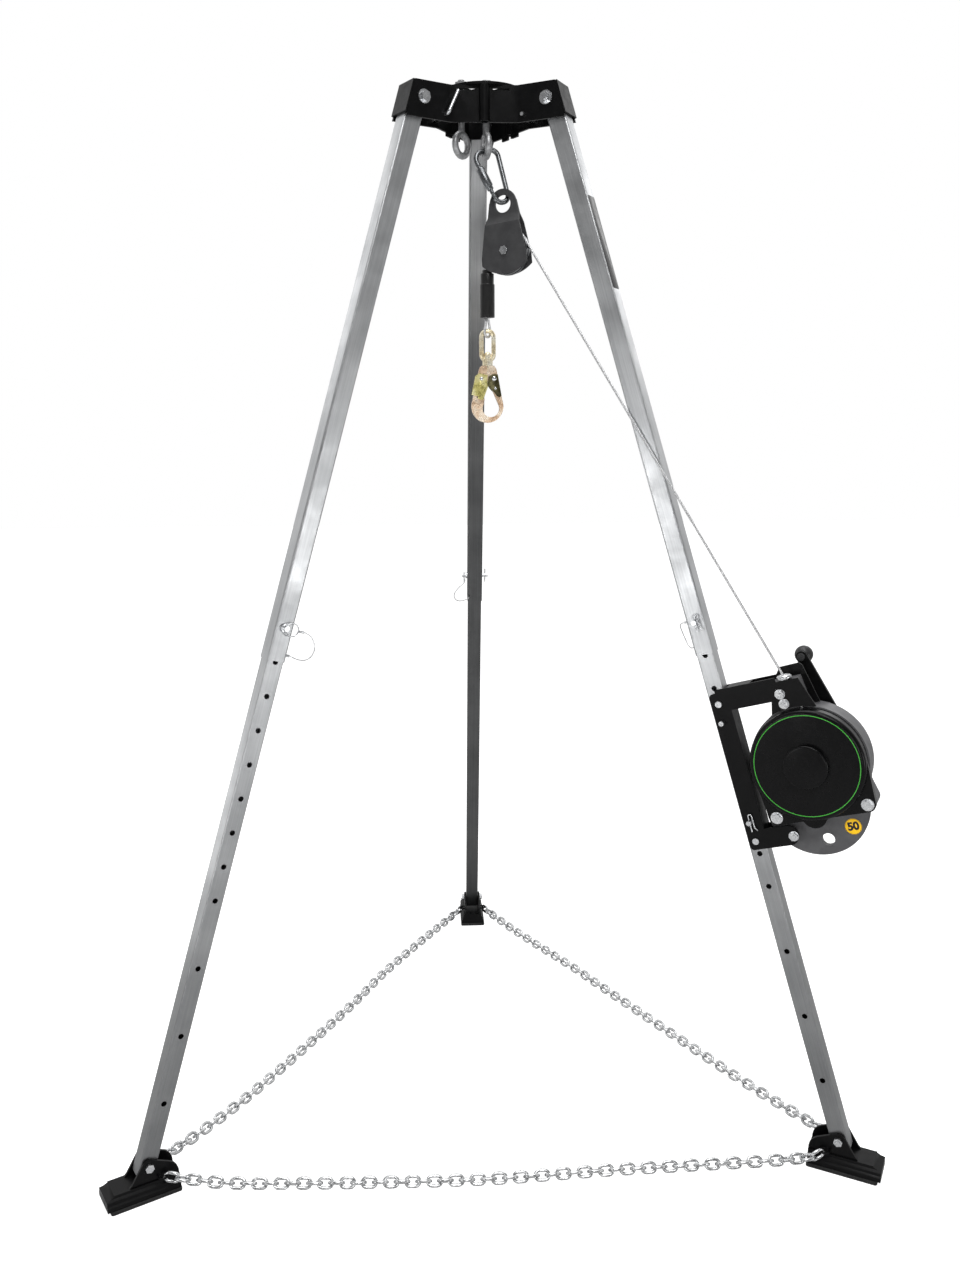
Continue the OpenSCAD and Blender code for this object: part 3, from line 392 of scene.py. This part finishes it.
# Height where the shade is full, what it leaves of the color there, and the height where it ends
FRONT_SHADE = (0.1, 0.48, 1.1)
REAR_SHADE = (1.5, 0.33, 2.0)
ALLOY = {s: brushed("alloy_" + s, s, (0.44, 0.45, 0.46), (0.66, 0.67, 0.68), 0.30, 0.46, FRONT_SHADE)
         for s in ("left", "right")}
# Painted shade: the rear leg is a darker copy of the same alloy, and REAR_SHADE darkens it further from
# just below the head downwards.
ALLOY["rear"] = brushed("alloy_rear_painted_shade", "rear", (0.27, 0.275, 0.28), (0.46, 0.465, 0.47), 0.34, 0.50,
                        REAR_SHADE)
ALLOY_PLAIN = brushed("alloy_plain", None, (0.5, 0.5, 0.51), (0.66, 0.66, 0.67), 0.3, 0.45, FRONT_SHADE)
ZINC = plated("zinc", (0.55, 0.56, 0.58), (0.78, 0.79, 0.80), 0.18, 0.34)
CHAIN_ZINC = plated("chain_zinc", (0.34, 0.345, 0.35), (0.88, 0.89, 0.90), 0.16, 0.28, 150)
CAST_ZINC = plated("cast_zinc", (0.30, 0.30, 0.31), (0.55, 0.555, 0.56), 0.38, 0.58, 220)
GUNMETAL = plated("gunmetal", (0.13, 0.135, 0.14), (0.26, 0.27, 0.28), 0.22, 0.36)
PULLEY_GREY = coated("pulley_grey", (0.036, 0.036, 0.038), (0.052, 0.052, 0.054), 0.42, 0.55, 0.06, 0.35)
EYE_ZINC = passivated("eye_zinc", (0.56, 0.45, 0.26), (0.86, 0.75, 0.51), (0.97, 0.92, 0.76))
HOOK_ZINC = passivated("hook_zinc", (0.46, 0.28, 0.16), (0.80, 0.59, 0.41), (0.96, 0.84, 0.68))
GATE_ZINC = passivated("gate_zinc", (0.38, 0.34, 0.09), (0.64, 0.58, 0.21), (0.88, 0.82, 0.48))
LEVER_ZINC = passivated("lever_zinc", (0.05, 0.044, 0.018), (0.10, 0.09, 0.036), (0.20, 0.18, 0.09))
ROPE = plated("rope_steel", (0.56, 0.565, 0.57), (0.78, 0.78, 0.79), 0.38, 0.52, 400)
RUBBER = grained("sole_rubber", (0.006, 0.006, 0.006), (0.016, 0.016, 0.016), 0.6, 0.8, 900, 0.4 * MM)
PLASTIC = grained("black_plastic", (0.008, 0.008, 0.009), (0.016, 0.016, 0.017), 0.36, 0.5, 1200, 0.2 * MM)
HEATSHRINK = grained("sleeve_rubber", (0.003, 0.003, 0.003), (0.007, 0.007, 0.007), 0.32, 0.44, 700,
                     0.2 * MM)
STRIP = grained("strip_film", (0.004, 0.004, 0.0045), (0.008, 0.008, 0.0085), 0.25, 0.35, 600, 0.05 * MM)
GREEN = grained("green_line", (0.04, 0.42, 0.03), (0.07, 0.50, 0.05), 0.35, 0.45, 600, 0.05 * MM)
YELLOW = grained("yellow_film", (0.92, 0.56, 0.0), (1.0, 0.63, 0.01), 0.35, 0.45, 600, 0.05 * MM)
# Painted light: the yellow film glows faintly, though it is no lamp, so that it looks brighter.
YELLOW_PAINTED_GLOW = YELLOW.node_tree.nodes["Principled BSDF"].inputs
YELLOW_PAINTED_GLOW["Emission Color"].default_value = (1.0, 0.52, 0.0, 1)
YELLOW_PAINTED_GLOW["Emission Strength"].default_value = 0.35


# Lanyards: free wires from the pin's ferrule to the stud on the tube
LANYARD_D = 2.4 * MM
LANYARD_ROUTE = [(-38, 28, 0), (-42, 28, 0), (-46, 30, -1), (-50, 34, -3), (-53, 40, -7), (-55, 46, -13),
                 (-56, 52, -21), (-56, 55, -30), (-54, 54, -39), (-51, 49, -47), (-46, 42, -52),
                 (-41, 34, -54), (-36, 26, -54), (-32, 19, -53), (-28, 16, -52), (-25, 16, -52)]


def route_length(points):
    return sum((b - a).length for a, b in zip(points, points[1:]))


def make_lanyard(side):
    place = on_leg(side) @ Matrix.Translation((0, 0, -PIN_S))
    points = [place @ (Vector(p) * MM) for p in smooth_route(LANYARD_ROUTE, 4)]
    data = bpy.data.curves.new("lanyard_wire_" + side, "CURVE")
    data.dimensions = "3D"
    data.bevel_depth = LANYARD_D / 2
    data.bevel_resolution = 3
    data.use_fill_caps = True
    spline = data.splines.new("POLY")
    spline.points.add(len(points) - 1)
    for point, p in zip(spline.points, points):
        point.co = (*p, 1)
    data.materials.append(ROPE)
    wire = bpy.data.objects.new("lanyard_wire_" + side, data)
    bpy.context.scene.collection.objects.link(wire)
    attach(wire, LEG_BODY[side])
    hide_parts("lanyard_" + side)


for side in AZIMUTH:
    make_lanyard(side)


# Chains between the feet
LINK_WIRE = 6.6 * MM
LINK_W = 24.5 * MM
LINK_PITCH = 21.4 * MM
EYE_AT = (-24 * MM, 30 * MM, 44 * MM)
LINK_PLAY = 0.6 * MM
LINK_BEND = (LINK_W - LINK_WIRE) / 2
LINK_HALF = (LINK_PITCH + LINK_PLAY + LINK_WIRE) / 2 - LINK_BEND
EYE_R = 9 * MM
EYE_WIRE = 4.5 * MM
EYE_PLAY = 0.15 * MM
FIRST_LINK = EYE_R - (EYE_WIRE + LINK_WIRE) / 2 - EYE_PLAY + LINK_HALF + LINK_BEND
LINK_STEPS = 7
LINK_SIDES = 10
WELD_SWELL = 1.10


def link_rings():
    """One welded link in the x-y plane: rings of points round its wire."""
    line = []
    for s in (1, -1):
        for k in range(LINK_STEPS + 1):
            a = -math.pi / 2 + math.pi * k / LINK_STEPS
            out = Vector((s * math.cos(a), s * math.sin(a), 0))
            line.append((Vector((s * LINK_HALF, 0, 0)) + out * LINK_BEND, out))
        line.append((Vector((0, s * LINK_BEND, 0)), Vector((0, s, 0))))
    up = Vector((0, 0, 1))
    rings = []
    for i, (p, out) in enumerate(line):
        weld = WELD_SWELL if i == LINK_STEPS + 1 else 1.0
        ring = []
        for k in range(LINK_SIDES):
            a = 2 * math.pi * k / LINK_SIDES
            ring.append(p + (out * math.cos(a) + up * math.sin(a)) * LINK_WIRE / 2 * weld)
        rings.append(ring)
    return rings


LINK_RINGS = link_rings()


def foot_eye(side, sign):
    return on_foot(side) @ Vector((EYE_AT[0], sign * EYE_AT[1], EYE_AT[2]))


# How each run lies: share of the run, distance outwards and height above the floor, in mm; the links' lean
CHAIN_LIE = {
    "chain_front": ([(0.05, 4, 35), (0.142, 8, 25), (0.449, 8, 15), (0.686, 1, 20), (0.95, 6, 32)],
                    -0.62),
    "chain_right": ([(0.05, 1, 40), (0.206, 4, 31), (0.591, 12, 29), (0.658, 12, 31), (0.866, 2, 35)],
                    0.70),
    "chain_left": ([(0.06, 6, 38), (0.301, 11, 31), (0.481, 1, 22), (0.754, -10, 21), (0.93, -8, 31)],
                   0.75),
}
LEAN_LINKS = 4
ROLL_SPREAD = 0.14
FINE_STEP = 0.5 * MM
LOOK_STEPS = 12


def chain_links(p, q, lie, lean):
    """Places of one run's links, from eye p to eye q: quarter turns, leaning over away from the eyes."""
    out = (q - p).cross(Vector((0, 0, 1))).normalized()
    way = []
    for share, side, high in lie:
        at = p + (q - p) * share + out * side * MM
        way.append(Vector((at.x, at.y, high * MM)))
    route = smooth_route([p] + way + [q], 24)
    run = route_length(route)
    count = 2 * math.floor((run - 2 * FIRST_LINK) / LINK_PITCH / 2) + 1
    fine = resample(route, FINE_STEP)
    places = []
    for i in range(count):
        t = (FIRST_LINK + i * (run - 2 * FIRST_LINK) / (count - 1)) / run
        k = round(t * (len(fine) - 1))
        along = (fine[k + LOOK_STEPS] - fine[k - LOOK_STEPS]).normalized()
        turn = along.to_track_quat("X", "Z").to_matrix().to_4x4()
        roll = math.pi / 2 if i % 2 == 0 else 0
        roll += lean * min(1, i / LEAN_LINKS, (count - 1 - i) / LEAN_LINKS)
        roll += random.uniform(-ROLL_SPREAD, ROLL_SPREAD)
        places.append(Matrix.Translation(fine[k]) @ turn @ Matrix.Rotation(roll, 4, "X"))
    return places


def chain_piece(name, places):
    verts, faces = [], []
    n = LINK_SIDES
    for place in places:
        base = len(verts)
        for ring in LINK_RINGS:
            verts.extend(place @ v for v in ring)
        for i in range(len(LINK_RINGS)):
            a, b = base + i * n, base + (i + 1) % len(LINK_RINGS) * n
            for k in range(n):
                m = (k + 1) % n
                faces.append((a + k, b + k, b + m, a + m))
    obj = new_object(name, verts, faces, CHAIN_ZINC)
    return obj


FOOT_LINKS = 3
SHANK_LINKS = 18


def chain_run(node, side_a, side_b):
    """One run, split at its middle into two halves; each half is cut into pieces named after the bodies
    from its foot up to its leg, but no piece is attached to a body.
    """
    links = chain_links(foot_eye(side_a, 1), foot_eye(side_b, -1), *CHAIN_LIE[node])
    middle = len(links) // 2
    halves = [(side_a, links[:middle]), (side_b, links[middle:][::-1])]
    for side, half in halves:
        bodies = ["foot_" + side, SHANK_BODY[side], LEG_BODY[side], "head"]
        cuts = [0, FOOT_LINKS, SHANK_LINKS, len(half)]
        if side == "right":
            bodies.pop(1)
            cuts.pop(2)
        for a, b, lo, hi in zip(bodies, bodies[1:], cuts, cuts[1:]):
            obj = chain_piece(f"{node}_{side}_{a}", half[lo:hi])
            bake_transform(obj)
            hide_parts(node)


chain_run("chain_front", "left", "right")
chain_run("chain_right", "right", "rear")
chain_run("chain_left", "rear", "left")


# Wire rope: the straight run, the bend over the sheave, the coil on the drum and the fall
ROPE_D = 5 * MM
COIL_PITCH = 1.04 * ROPE_D
COIL_STEPS = 24
MAIN_EYE = Vector((4.7 * MM, -44.2 * MM))
SHEAVE_AT = Vector((45.3 * MM, -280.4 * MM))
SHEAVE_R = 44 * MM
GUIDE_AT = Vector((139.4 * MM, -14 * MM, -1201.5 * MM))
DRUM_AT = (142 * MM, -1375 * MM)
DRUM_Y = (-16 * MM, 10 * MM)
SLEEVE_TOP = -314 * MM
HOOK_TOP = -503 * MM
GUIDE_PLACE = on_leg("right") @ GUIDE_AT - Vector((0, AXIS_Y, PIVOT_Z))
ROPE_AZ = math.atan2(GUIDE_PLACE.y - MAIN_EYE.y, GUIDE_PLACE.x - MAIN_EYE.x)


def rope_point(p):
    """A point of the rope's plane: its distance from the main eye, and its height above the pivot level."""
    return Vector((MAIN_EYE.x + p[0] * math.cos(ROPE_AZ), AXIS_Y + MAIN_EYE.y + p[0] * math.sin(ROPE_AZ),
                   PIVOT_Z + p[1]))


def make_rope():
    guide = Vector(((GUIDE_PLACE.xy - MAIN_EYE).length, GUIDE_PLACE.z))
    run = guide - SHEAVE_AT
    angle = math.atan2(run.y, run.x) - math.asin(SHEAVE_R / run.length)
    leave = angle + math.pi / 2
    start = rope_point(SHEAVE_AT + SHEAVE_R * Vector((math.cos(leave), math.sin(leave))))
    heading = (rope_point(guide) - start).normalized()
    to_leg = on_leg("right").inverted()
    flat = to_leg.to_3x3() @ heading
    gap = to_leg @ start - Vector((DRUM_AT[0], 0, DRUM_AT[1]))
    length = -(gap.x * flat.x + gap.z * flat.z) / (flat.x ** 2 + flat.z ** 2)
    end = start + heading * length
    near = to_leg @ end
    wind_r = math.hypot(near.x - DRUM_AT[0], near.z - DRUM_AT[1])

    straight = wire_rope("rope_run", [start, end], ROPE_D, ROPE)
    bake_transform(straight)
    arc = [rope_point(SHEAVE_AT + SHEAVE_R * Vector((math.cos(a), math.sin(a))))
           for a in np.linspace(leave, math.pi, 30)]
    bend = wire_rope("rope_bend", arc, ROPE_D, ROPE)
    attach(bend, "head")
    turns = int((DRUM_Y[1] - DRUM_Y[0] - 2 * MM) / COIL_PITCH) - 1
    coil = []
    for k in range(turns * COIL_STEPS + 1):
        a = 2 * math.pi * k / COIL_STEPS
        y = DRUM_Y[0] + 4 * MM + COIL_PITCH * k / COIL_STEPS
        r = wind_r - ROPE_D - 0.4 * MM
        turn = Vector((DRUM_AT[0] + r * math.cos(a), y, DRUM_AT[1] + r * math.sin(a)))
        coil.append(on_leg("right") @ turn)
    wound = wire_rope("rope_coil", coil, ROPE_D, ROPE, step=3 * MM)
    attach(wound, "drum")
    for obj in (straight, bend, wound):
        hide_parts("cable_run")
    top = rope_point((SHEAVE_AT.x - SHEAVE_R, SHEAVE_AT.y))
    low = rope_point((SHEAVE_AT.x - SHEAVE_R, SLEEVE_TOP - 1 * MM))
    fall = wire_rope("rope_fall", [top, low], ROPE_D, ROPE, step=0.5 * MM)
    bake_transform(fall)
    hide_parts("cable_fall")


make_rope()


# CAD pieces: a copy with its edges broken, so that they catch the light, stands for most rigid nodes; the
# others keep their own mesh with a new material
def dressed(node, material, edge=0.6 * MM):
    source = NODES[node]
    mesh = source.data.copy()
    mesh.materials.clear()
    mesh.materials.append(material)
    obj = bpy.data.objects.new(node + "_skin", mesh)
    bpy.context.scene.collection.objects.link(obj)
    bm = bmesh.new()
    bm.from_mesh(mesh)
    bmesh.ops.remove_doubles(bm, verts=bm.verts, dist=0.005 * MM)
    bmesh.ops.dissolve_limit(bm, angle_limit=math.radians(0.6), verts=bm.verts, edges=bm.edges)
    for f in bm.faces:
        f.smooth = True
    bm.to_mesh(mesh)
    bm.free()
    mesh.set_sharp_from_angle(angle=math.radians(32))
    if edge:
        bevel = obj.modifiers.new("edges", "BEVEL")
        bevel.width = edge
        bevel.segments = 2
        bevel.limit_method = "ANGLE"
        bevel.angle_limit = math.radians(40)
        bevel.harden_normals = True
        bevel.use_clamp_overlap = True
    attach(obj, source["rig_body"])
    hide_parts(node)
    return obj


def paint(node, material):
    """A CAD node that stays as it is, with a better material."""
    mesh = NODES[node].data
    mesh.materials.clear()
    mesh.materials.append(material)
    for p in mesh.polygons:
        p.use_smooth = True
    mesh.set_sharp_from_angle(angle=math.radians(32))


for node in ("head_plate_front", "head_plate_left", "head_plate_right", "head_end_caps", "head_top_plate",
             "foot_bracket_left", "foot_bracket_right", "foot_bracket_rear", "winch_bracket"):
    dressed(node, BLACK_COAT, 0.8 * MM)
dressed("crank_arm", BLACK_COAT, 0.6 * MM)
dressed("winch_cover", COVER_COAT, 2.0 * MM)
dressed("winch_housing", GREY_COAT, 1.0 * MM)
for side in AZIMUTH:
    dressed("leg_upper_" + side, ALLOY[side], 0.3 * MM)
    dressed("leg_lower_" + side, ALLOY[side], 0.3 * MM)
    dressed("foot_sole_" + side, RUBBER, 1.2 * MM)
    for node in ("lock_pin_", "foot_bolt_"):
        dressed(node + side, ZINC, 0.4 * MM)
    paint("pin_clip_" + side, ZINC)
for node in ("pivot_bolts", "pulley_axle", "winch_bolts"):
    dressed(node, ZINC, 0.5 * MM)
for node in ("head_pins", "cable_guide", "drum_shaft", "crank_pinion"):
    paint(node, ZINC)
paint("eyebolts", CAST_ZINC)
for node in ("carabiner_body", "carabiner_gate"):
    paint(node, GUNMETAL)
dressed("carabiner_sleeve", GUNMETAL, 0.3 * MM)
dressed("pulley_cheeks", PULLEY_GREY, 0.5 * MM)
paint("winch_drum", ALLOY_PLAIN)
# The sheave gets the dark gunmetal as painted shade, standing for the shadow between the pulley's cheeks.
paint("pulley_sheave", GUNMETAL)
paint("power_spring", GUNMETAL)
paint("cable_eye", ROPE)
dressed("cable_sleeve", HEATSHRINK, 1.0 * MM)
dressed("crank_knob", PLASTIC, 0.6 * MM)
paint("hook_eye", EYE_ZINC)
dressed("hook_body", HOOK_ZINC, 1.2 * MM)
dressed("hook_gate", GATE_ZINC, 0.4 * MM)
dressed("hook_lever", LEVER_ZINC, 0.5 * MM)


# Trim: a bare strip on one leg, the line round the winch cover, and the disc on its lower lobe
def disc_ring(name, place, r_in, r_out, thick, material, body, slot, segments=96):
    """A flat ring, or a disc where r_in is 0, that stands on the x-z plane of place and faces -y."""
    rings = []
    radii = [(r_out, 0), (r_out, -0.7 * thick), (r_out - 0.3 * thick, -thick)]
    radii += [(r_in + 0.3 * thick, -thick), (r_in, -0.7 * thick), (r_in, 0)] if r_in else []
    for r, y in radii:
        rings.append([place @ Vector((r * math.cos(a), y, r * math.sin(a)))
                      for a in np.linspace(0, 2 * math.pi, segments, endpoint=False)])
    obj = loft(name, rings, material, close_ends=not r_in, closed=bool(r_in))
    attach(obj, body)
    return obj


COVER_FACE_Y = -40 * MM
COVER_LINE_R = (99.2 * MM, 100.8 * MM)
LOBE_DISC_AT = (188 * MM, 4 * MM, -1517 * MM)
LOBE_DISC_R = 16 * MM
LOBE_DISC_T = 0.4 * MM
LOBE_RIM_R = (15 * MM, 15.6 * MM)
cover_place = on_leg("right") @ Matrix.Translation((DRUM_AT[0], COVER_FACE_Y, DRUM_AT[1]))
disc_ring("cover_line", cover_place, *COVER_LINE_R, 0.25 * MM, GREEN, "leg_right", "black_coat")
disc_place = on_leg("right") @ Matrix.Translation(LOBE_DISC_AT)
# The disc's yellow film carries a painted glow.
disc_ring("lobe_disc", disc_place, 0, LOBE_DISC_R, LOBE_DISC_T, YELLOW, "leg_right", "grey_coat", 48)
disc_face = disc_place @ Matrix.Translation((0, -LOBE_DISC_T, 0))
disc_ring("lobe_disc_rim", disc_face, *LOBE_RIM_R, 0.05 * MM, STRIP, "leg_right", "black_plastic", 48)


def make_number(place, digits, size):
    """A plain number on a flat place that faces -y."""
    data = bpy.data.curves.new("lobe_number", "FONT")
    data.body = digits
    data.size = size
    data.align_x = "CENTER"
    data.align_y = "CENTER"
    data.extrude = 0.06 * MM
    data.offset = 1.1 * MM
    made = bpy.data.objects.new("lobe_number_text", data)
    bpy.context.scene.collection.objects.link(made)
    bpy.context.view_layer.update()
    mesh = bpy.data.meshes.new_from_object(made.evaluated_get(bpy.context.evaluated_depsgraph_get()))
    bpy.data.objects.remove(made)
    bpy.data.curves.remove(data)
    mesh.transform(place @ Matrix.Rotation(math.radians(90), 4, "X"))
    mesh.materials.clear()
    mesh.materials.append(STRIP)
    number = bpy.data.objects.new("lobe_number", mesh)
    bpy.context.scene.collection.objects.link(number)
    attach(number, "leg_right")


make_number(disc_face, "50", 22 * MM)


def make_strip():
    """A bare film strip on the right leg's outer face."""
    place = on_leg("right")
    half, x, low, high = 16 * MM, 19 * MM, -385 * MM, -200 * MM
    corner, thick = 3 * MM, 0.3 * MM
    rings = []
    for inset, out in ((0, 0), (0, 0.6 * thick), (0.3 * MM, thick)):
        ring = []
        for cy, cz, a0 in ((1, 1, 0), (-1, 1, 90), (-1, -1, 180), (1, -1, 270)):
            for k in range(5):
                a = math.radians(a0 + 22.5 * k)
                r = corner - inset
                y = cy * (half - corner) + r * math.cos(a)
                z = (high if cz > 0 else low) - cz * corner + r * math.sin(a)
                ring.append(place @ Vector((x + out, y, z)))
        rings.append(ring)
    obj = loft("leg_strip", rings, STRIP)
    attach(obj, "leg_right")


make_strip()


def make_rivets():
    """Bright faces on the heads of the hook's rivets."""
    hook = rope_point((SHEAVE_AT.x - SHEAVE_R, HOOK_TOP))
    heads = (("gate_rivet", "hook_gate", -13, -26, 3.4), ("lever_rivet", "hook_lever", 12.7, -26, 4.6),
             ("lever_stud", "hook_lever", 15.4, -45.4, 2.6))
    for name, node, x, z, r in heads:
        low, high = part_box(node)
        for end, y, turn in (("front", low[1], 0), ("back", high[1], math.pi)):
            place = Matrix.Translation((hook.x + x * MM, y, hook.z + z * MM))
            place = place @ Matrix.Rotation(turn, 4, "Z")
            disc_ring(f"{name}_{end}", place, 0, r * MM, 0.3 * MM, ZINC, node, "bright_zinc", 32)


make_rivets()


# Stage: a white floor, a studio that is grey in front and bright behind, and soft lights
def make_floor():
    n = Nodes("floor", (0.4, 0.4, 0.4), 0.0, 0.8)
    n.color(n.ramp(n.noise(3, 2), [(0.3, 0.53), (0.7, 0.57)]))
    glow = n.add("ShaderNodeEmission")
    glow.inputs["Strength"].default_value = 0.86
    both = n.add("ShaderNodeAddShader")
    n.link(n.bsdf.outputs["BSDF"], both.inputs[0])
    n.link(glow.outputs["Emission"], both.inputs[1])
    pick = n.add("ShaderNodeMixShader")
    n.link(n.add("ShaderNodeLightPath").outputs["Is Camera Ray"], pick.inputs["Fac"])
    n.link(n.bsdf.outputs["BSDF"], pick.inputs[1])
    n.link(both.outputs["Shader"], pick.inputs[2])
    n.link(pick.outputs["Shader"], n.tree.nodes["Material Output"].inputs["Surface"])
    half = 14
    corners = [(-half, -half, 0), (half, -half, 0), (half, half, 0), (-half, half, 0)]
    new_object("floor", corners, [(0, 1, 2, 3)], n.material, False)


def make_world():
    world = bpy.data.worlds.new("studio")
    bpy.context.scene.world = world
    world.use_nodes = True
    tree = world.node_tree
    add, link = tree.nodes.new, tree.links.new
    split = add("ShaderNodeSeparateXYZ")
    link(add("ShaderNodeTexCoord").outputs["Generated"], split.inputs["Vector"])
    depth = add("ShaderNodeMapRange")
    depth.inputs["From Min"].default_value = -0.75
    depth.inputs["From Max"].default_value = 0.55
    depth.inputs["To Min"].default_value = 0.16
    depth.inputs["To Max"].default_value = 0.85
    link(split.outputs["Y"], depth.inputs["Value"])
    height = add("ShaderNodeMapRange")
    height.inputs["From Min"].default_value = -0.1
    height.inputs["From Max"].default_value = 0.9
    height.inputs["To Min"].default_value = 0.75
    height.inputs["To Max"].default_value = 1.25
    link(split.outputs["Z"], height.inputs["Value"])
    both = add("ShaderNodeMath")
    both.operation = "MULTIPLY"
    link(depth.outputs["Result"], both.inputs[0])
    link(height.outputs["Result"], both.inputs[1])
    room = tree.nodes["Background"]
    link(both.outputs["Value"], room.inputs["Strength"])
    room.inputs["Color"].default_value = (1, 1, 1, 1)
    white = add("ShaderNodeBackground")
    pick = add("ShaderNodeMixShader")
    white.inputs["Color"].default_value = (1, 1, 1, 1)
    link(add("ShaderNodeLightPath").outputs["Is Camera Ray"], pick.inputs["Fac"])
    link(room.outputs["Background"], pick.inputs[1])
    link(white.outputs["Background"], pick.inputs[2])
    link(pick.outputs["Shader"], tree.nodes["World Output"].inputs["Surface"])


def make_light(name, at, aim, size, power):
    data = bpy.data.lights.new(name, "AREA")
    data.shape = "RECTANGLE"
    data.size, data.size_y = size
    data.energy = power
    light = bpy.data.objects.new(name, data)
    bpy.context.scene.collection.objects.link(light)
    direction = Vector(aim) - Vector(at)
    light.matrix_world = Matrix.Translation(at) @ direction.to_track_quat("-Z", "Y").to_matrix().to_4x4()


def make_stage():
    make_floor()
    make_world()
    make_light("key", (0.2, -3.0, 4.4), (0, -0.2, 1.3), (1.6, 1.4), 55)
    make_light("side_right", (2.5, -2.5, 0.85), (-0.37, -0.42, 1.2), (0.8, 0.9), 11)
    make_light("side_left", (-2.3, -2.87, 0.90), (0.37, -0.42, 1.2), (0.8, 0.8), 13)
    make_light("low_left", (-3.0, 1.2, 0.40), (-0.65, -0.55, 0.5), (1.6, 0.8), 5)
    make_light("fill", (0, -3.6, 0.9), (0, -0.2, 1.9), (1.2, 0.8), 12)
    make_light("top", (0, -0.3, 4.4), (0, -0.2, 0), (2.4, 2.4), 60)
    make_light("rim_right", (3.2, 3.2, 3.4), (0, -0.2, 1.2), (1.6, 1.6), 11)
    make_light("rim_left", (-3.4, 2.8, 3.4), (0, -0.2, 1.2), (1.6, 1.6), 8)
    bpy.context.scene.view_settings.view_transform = "Standard"


make_stage()
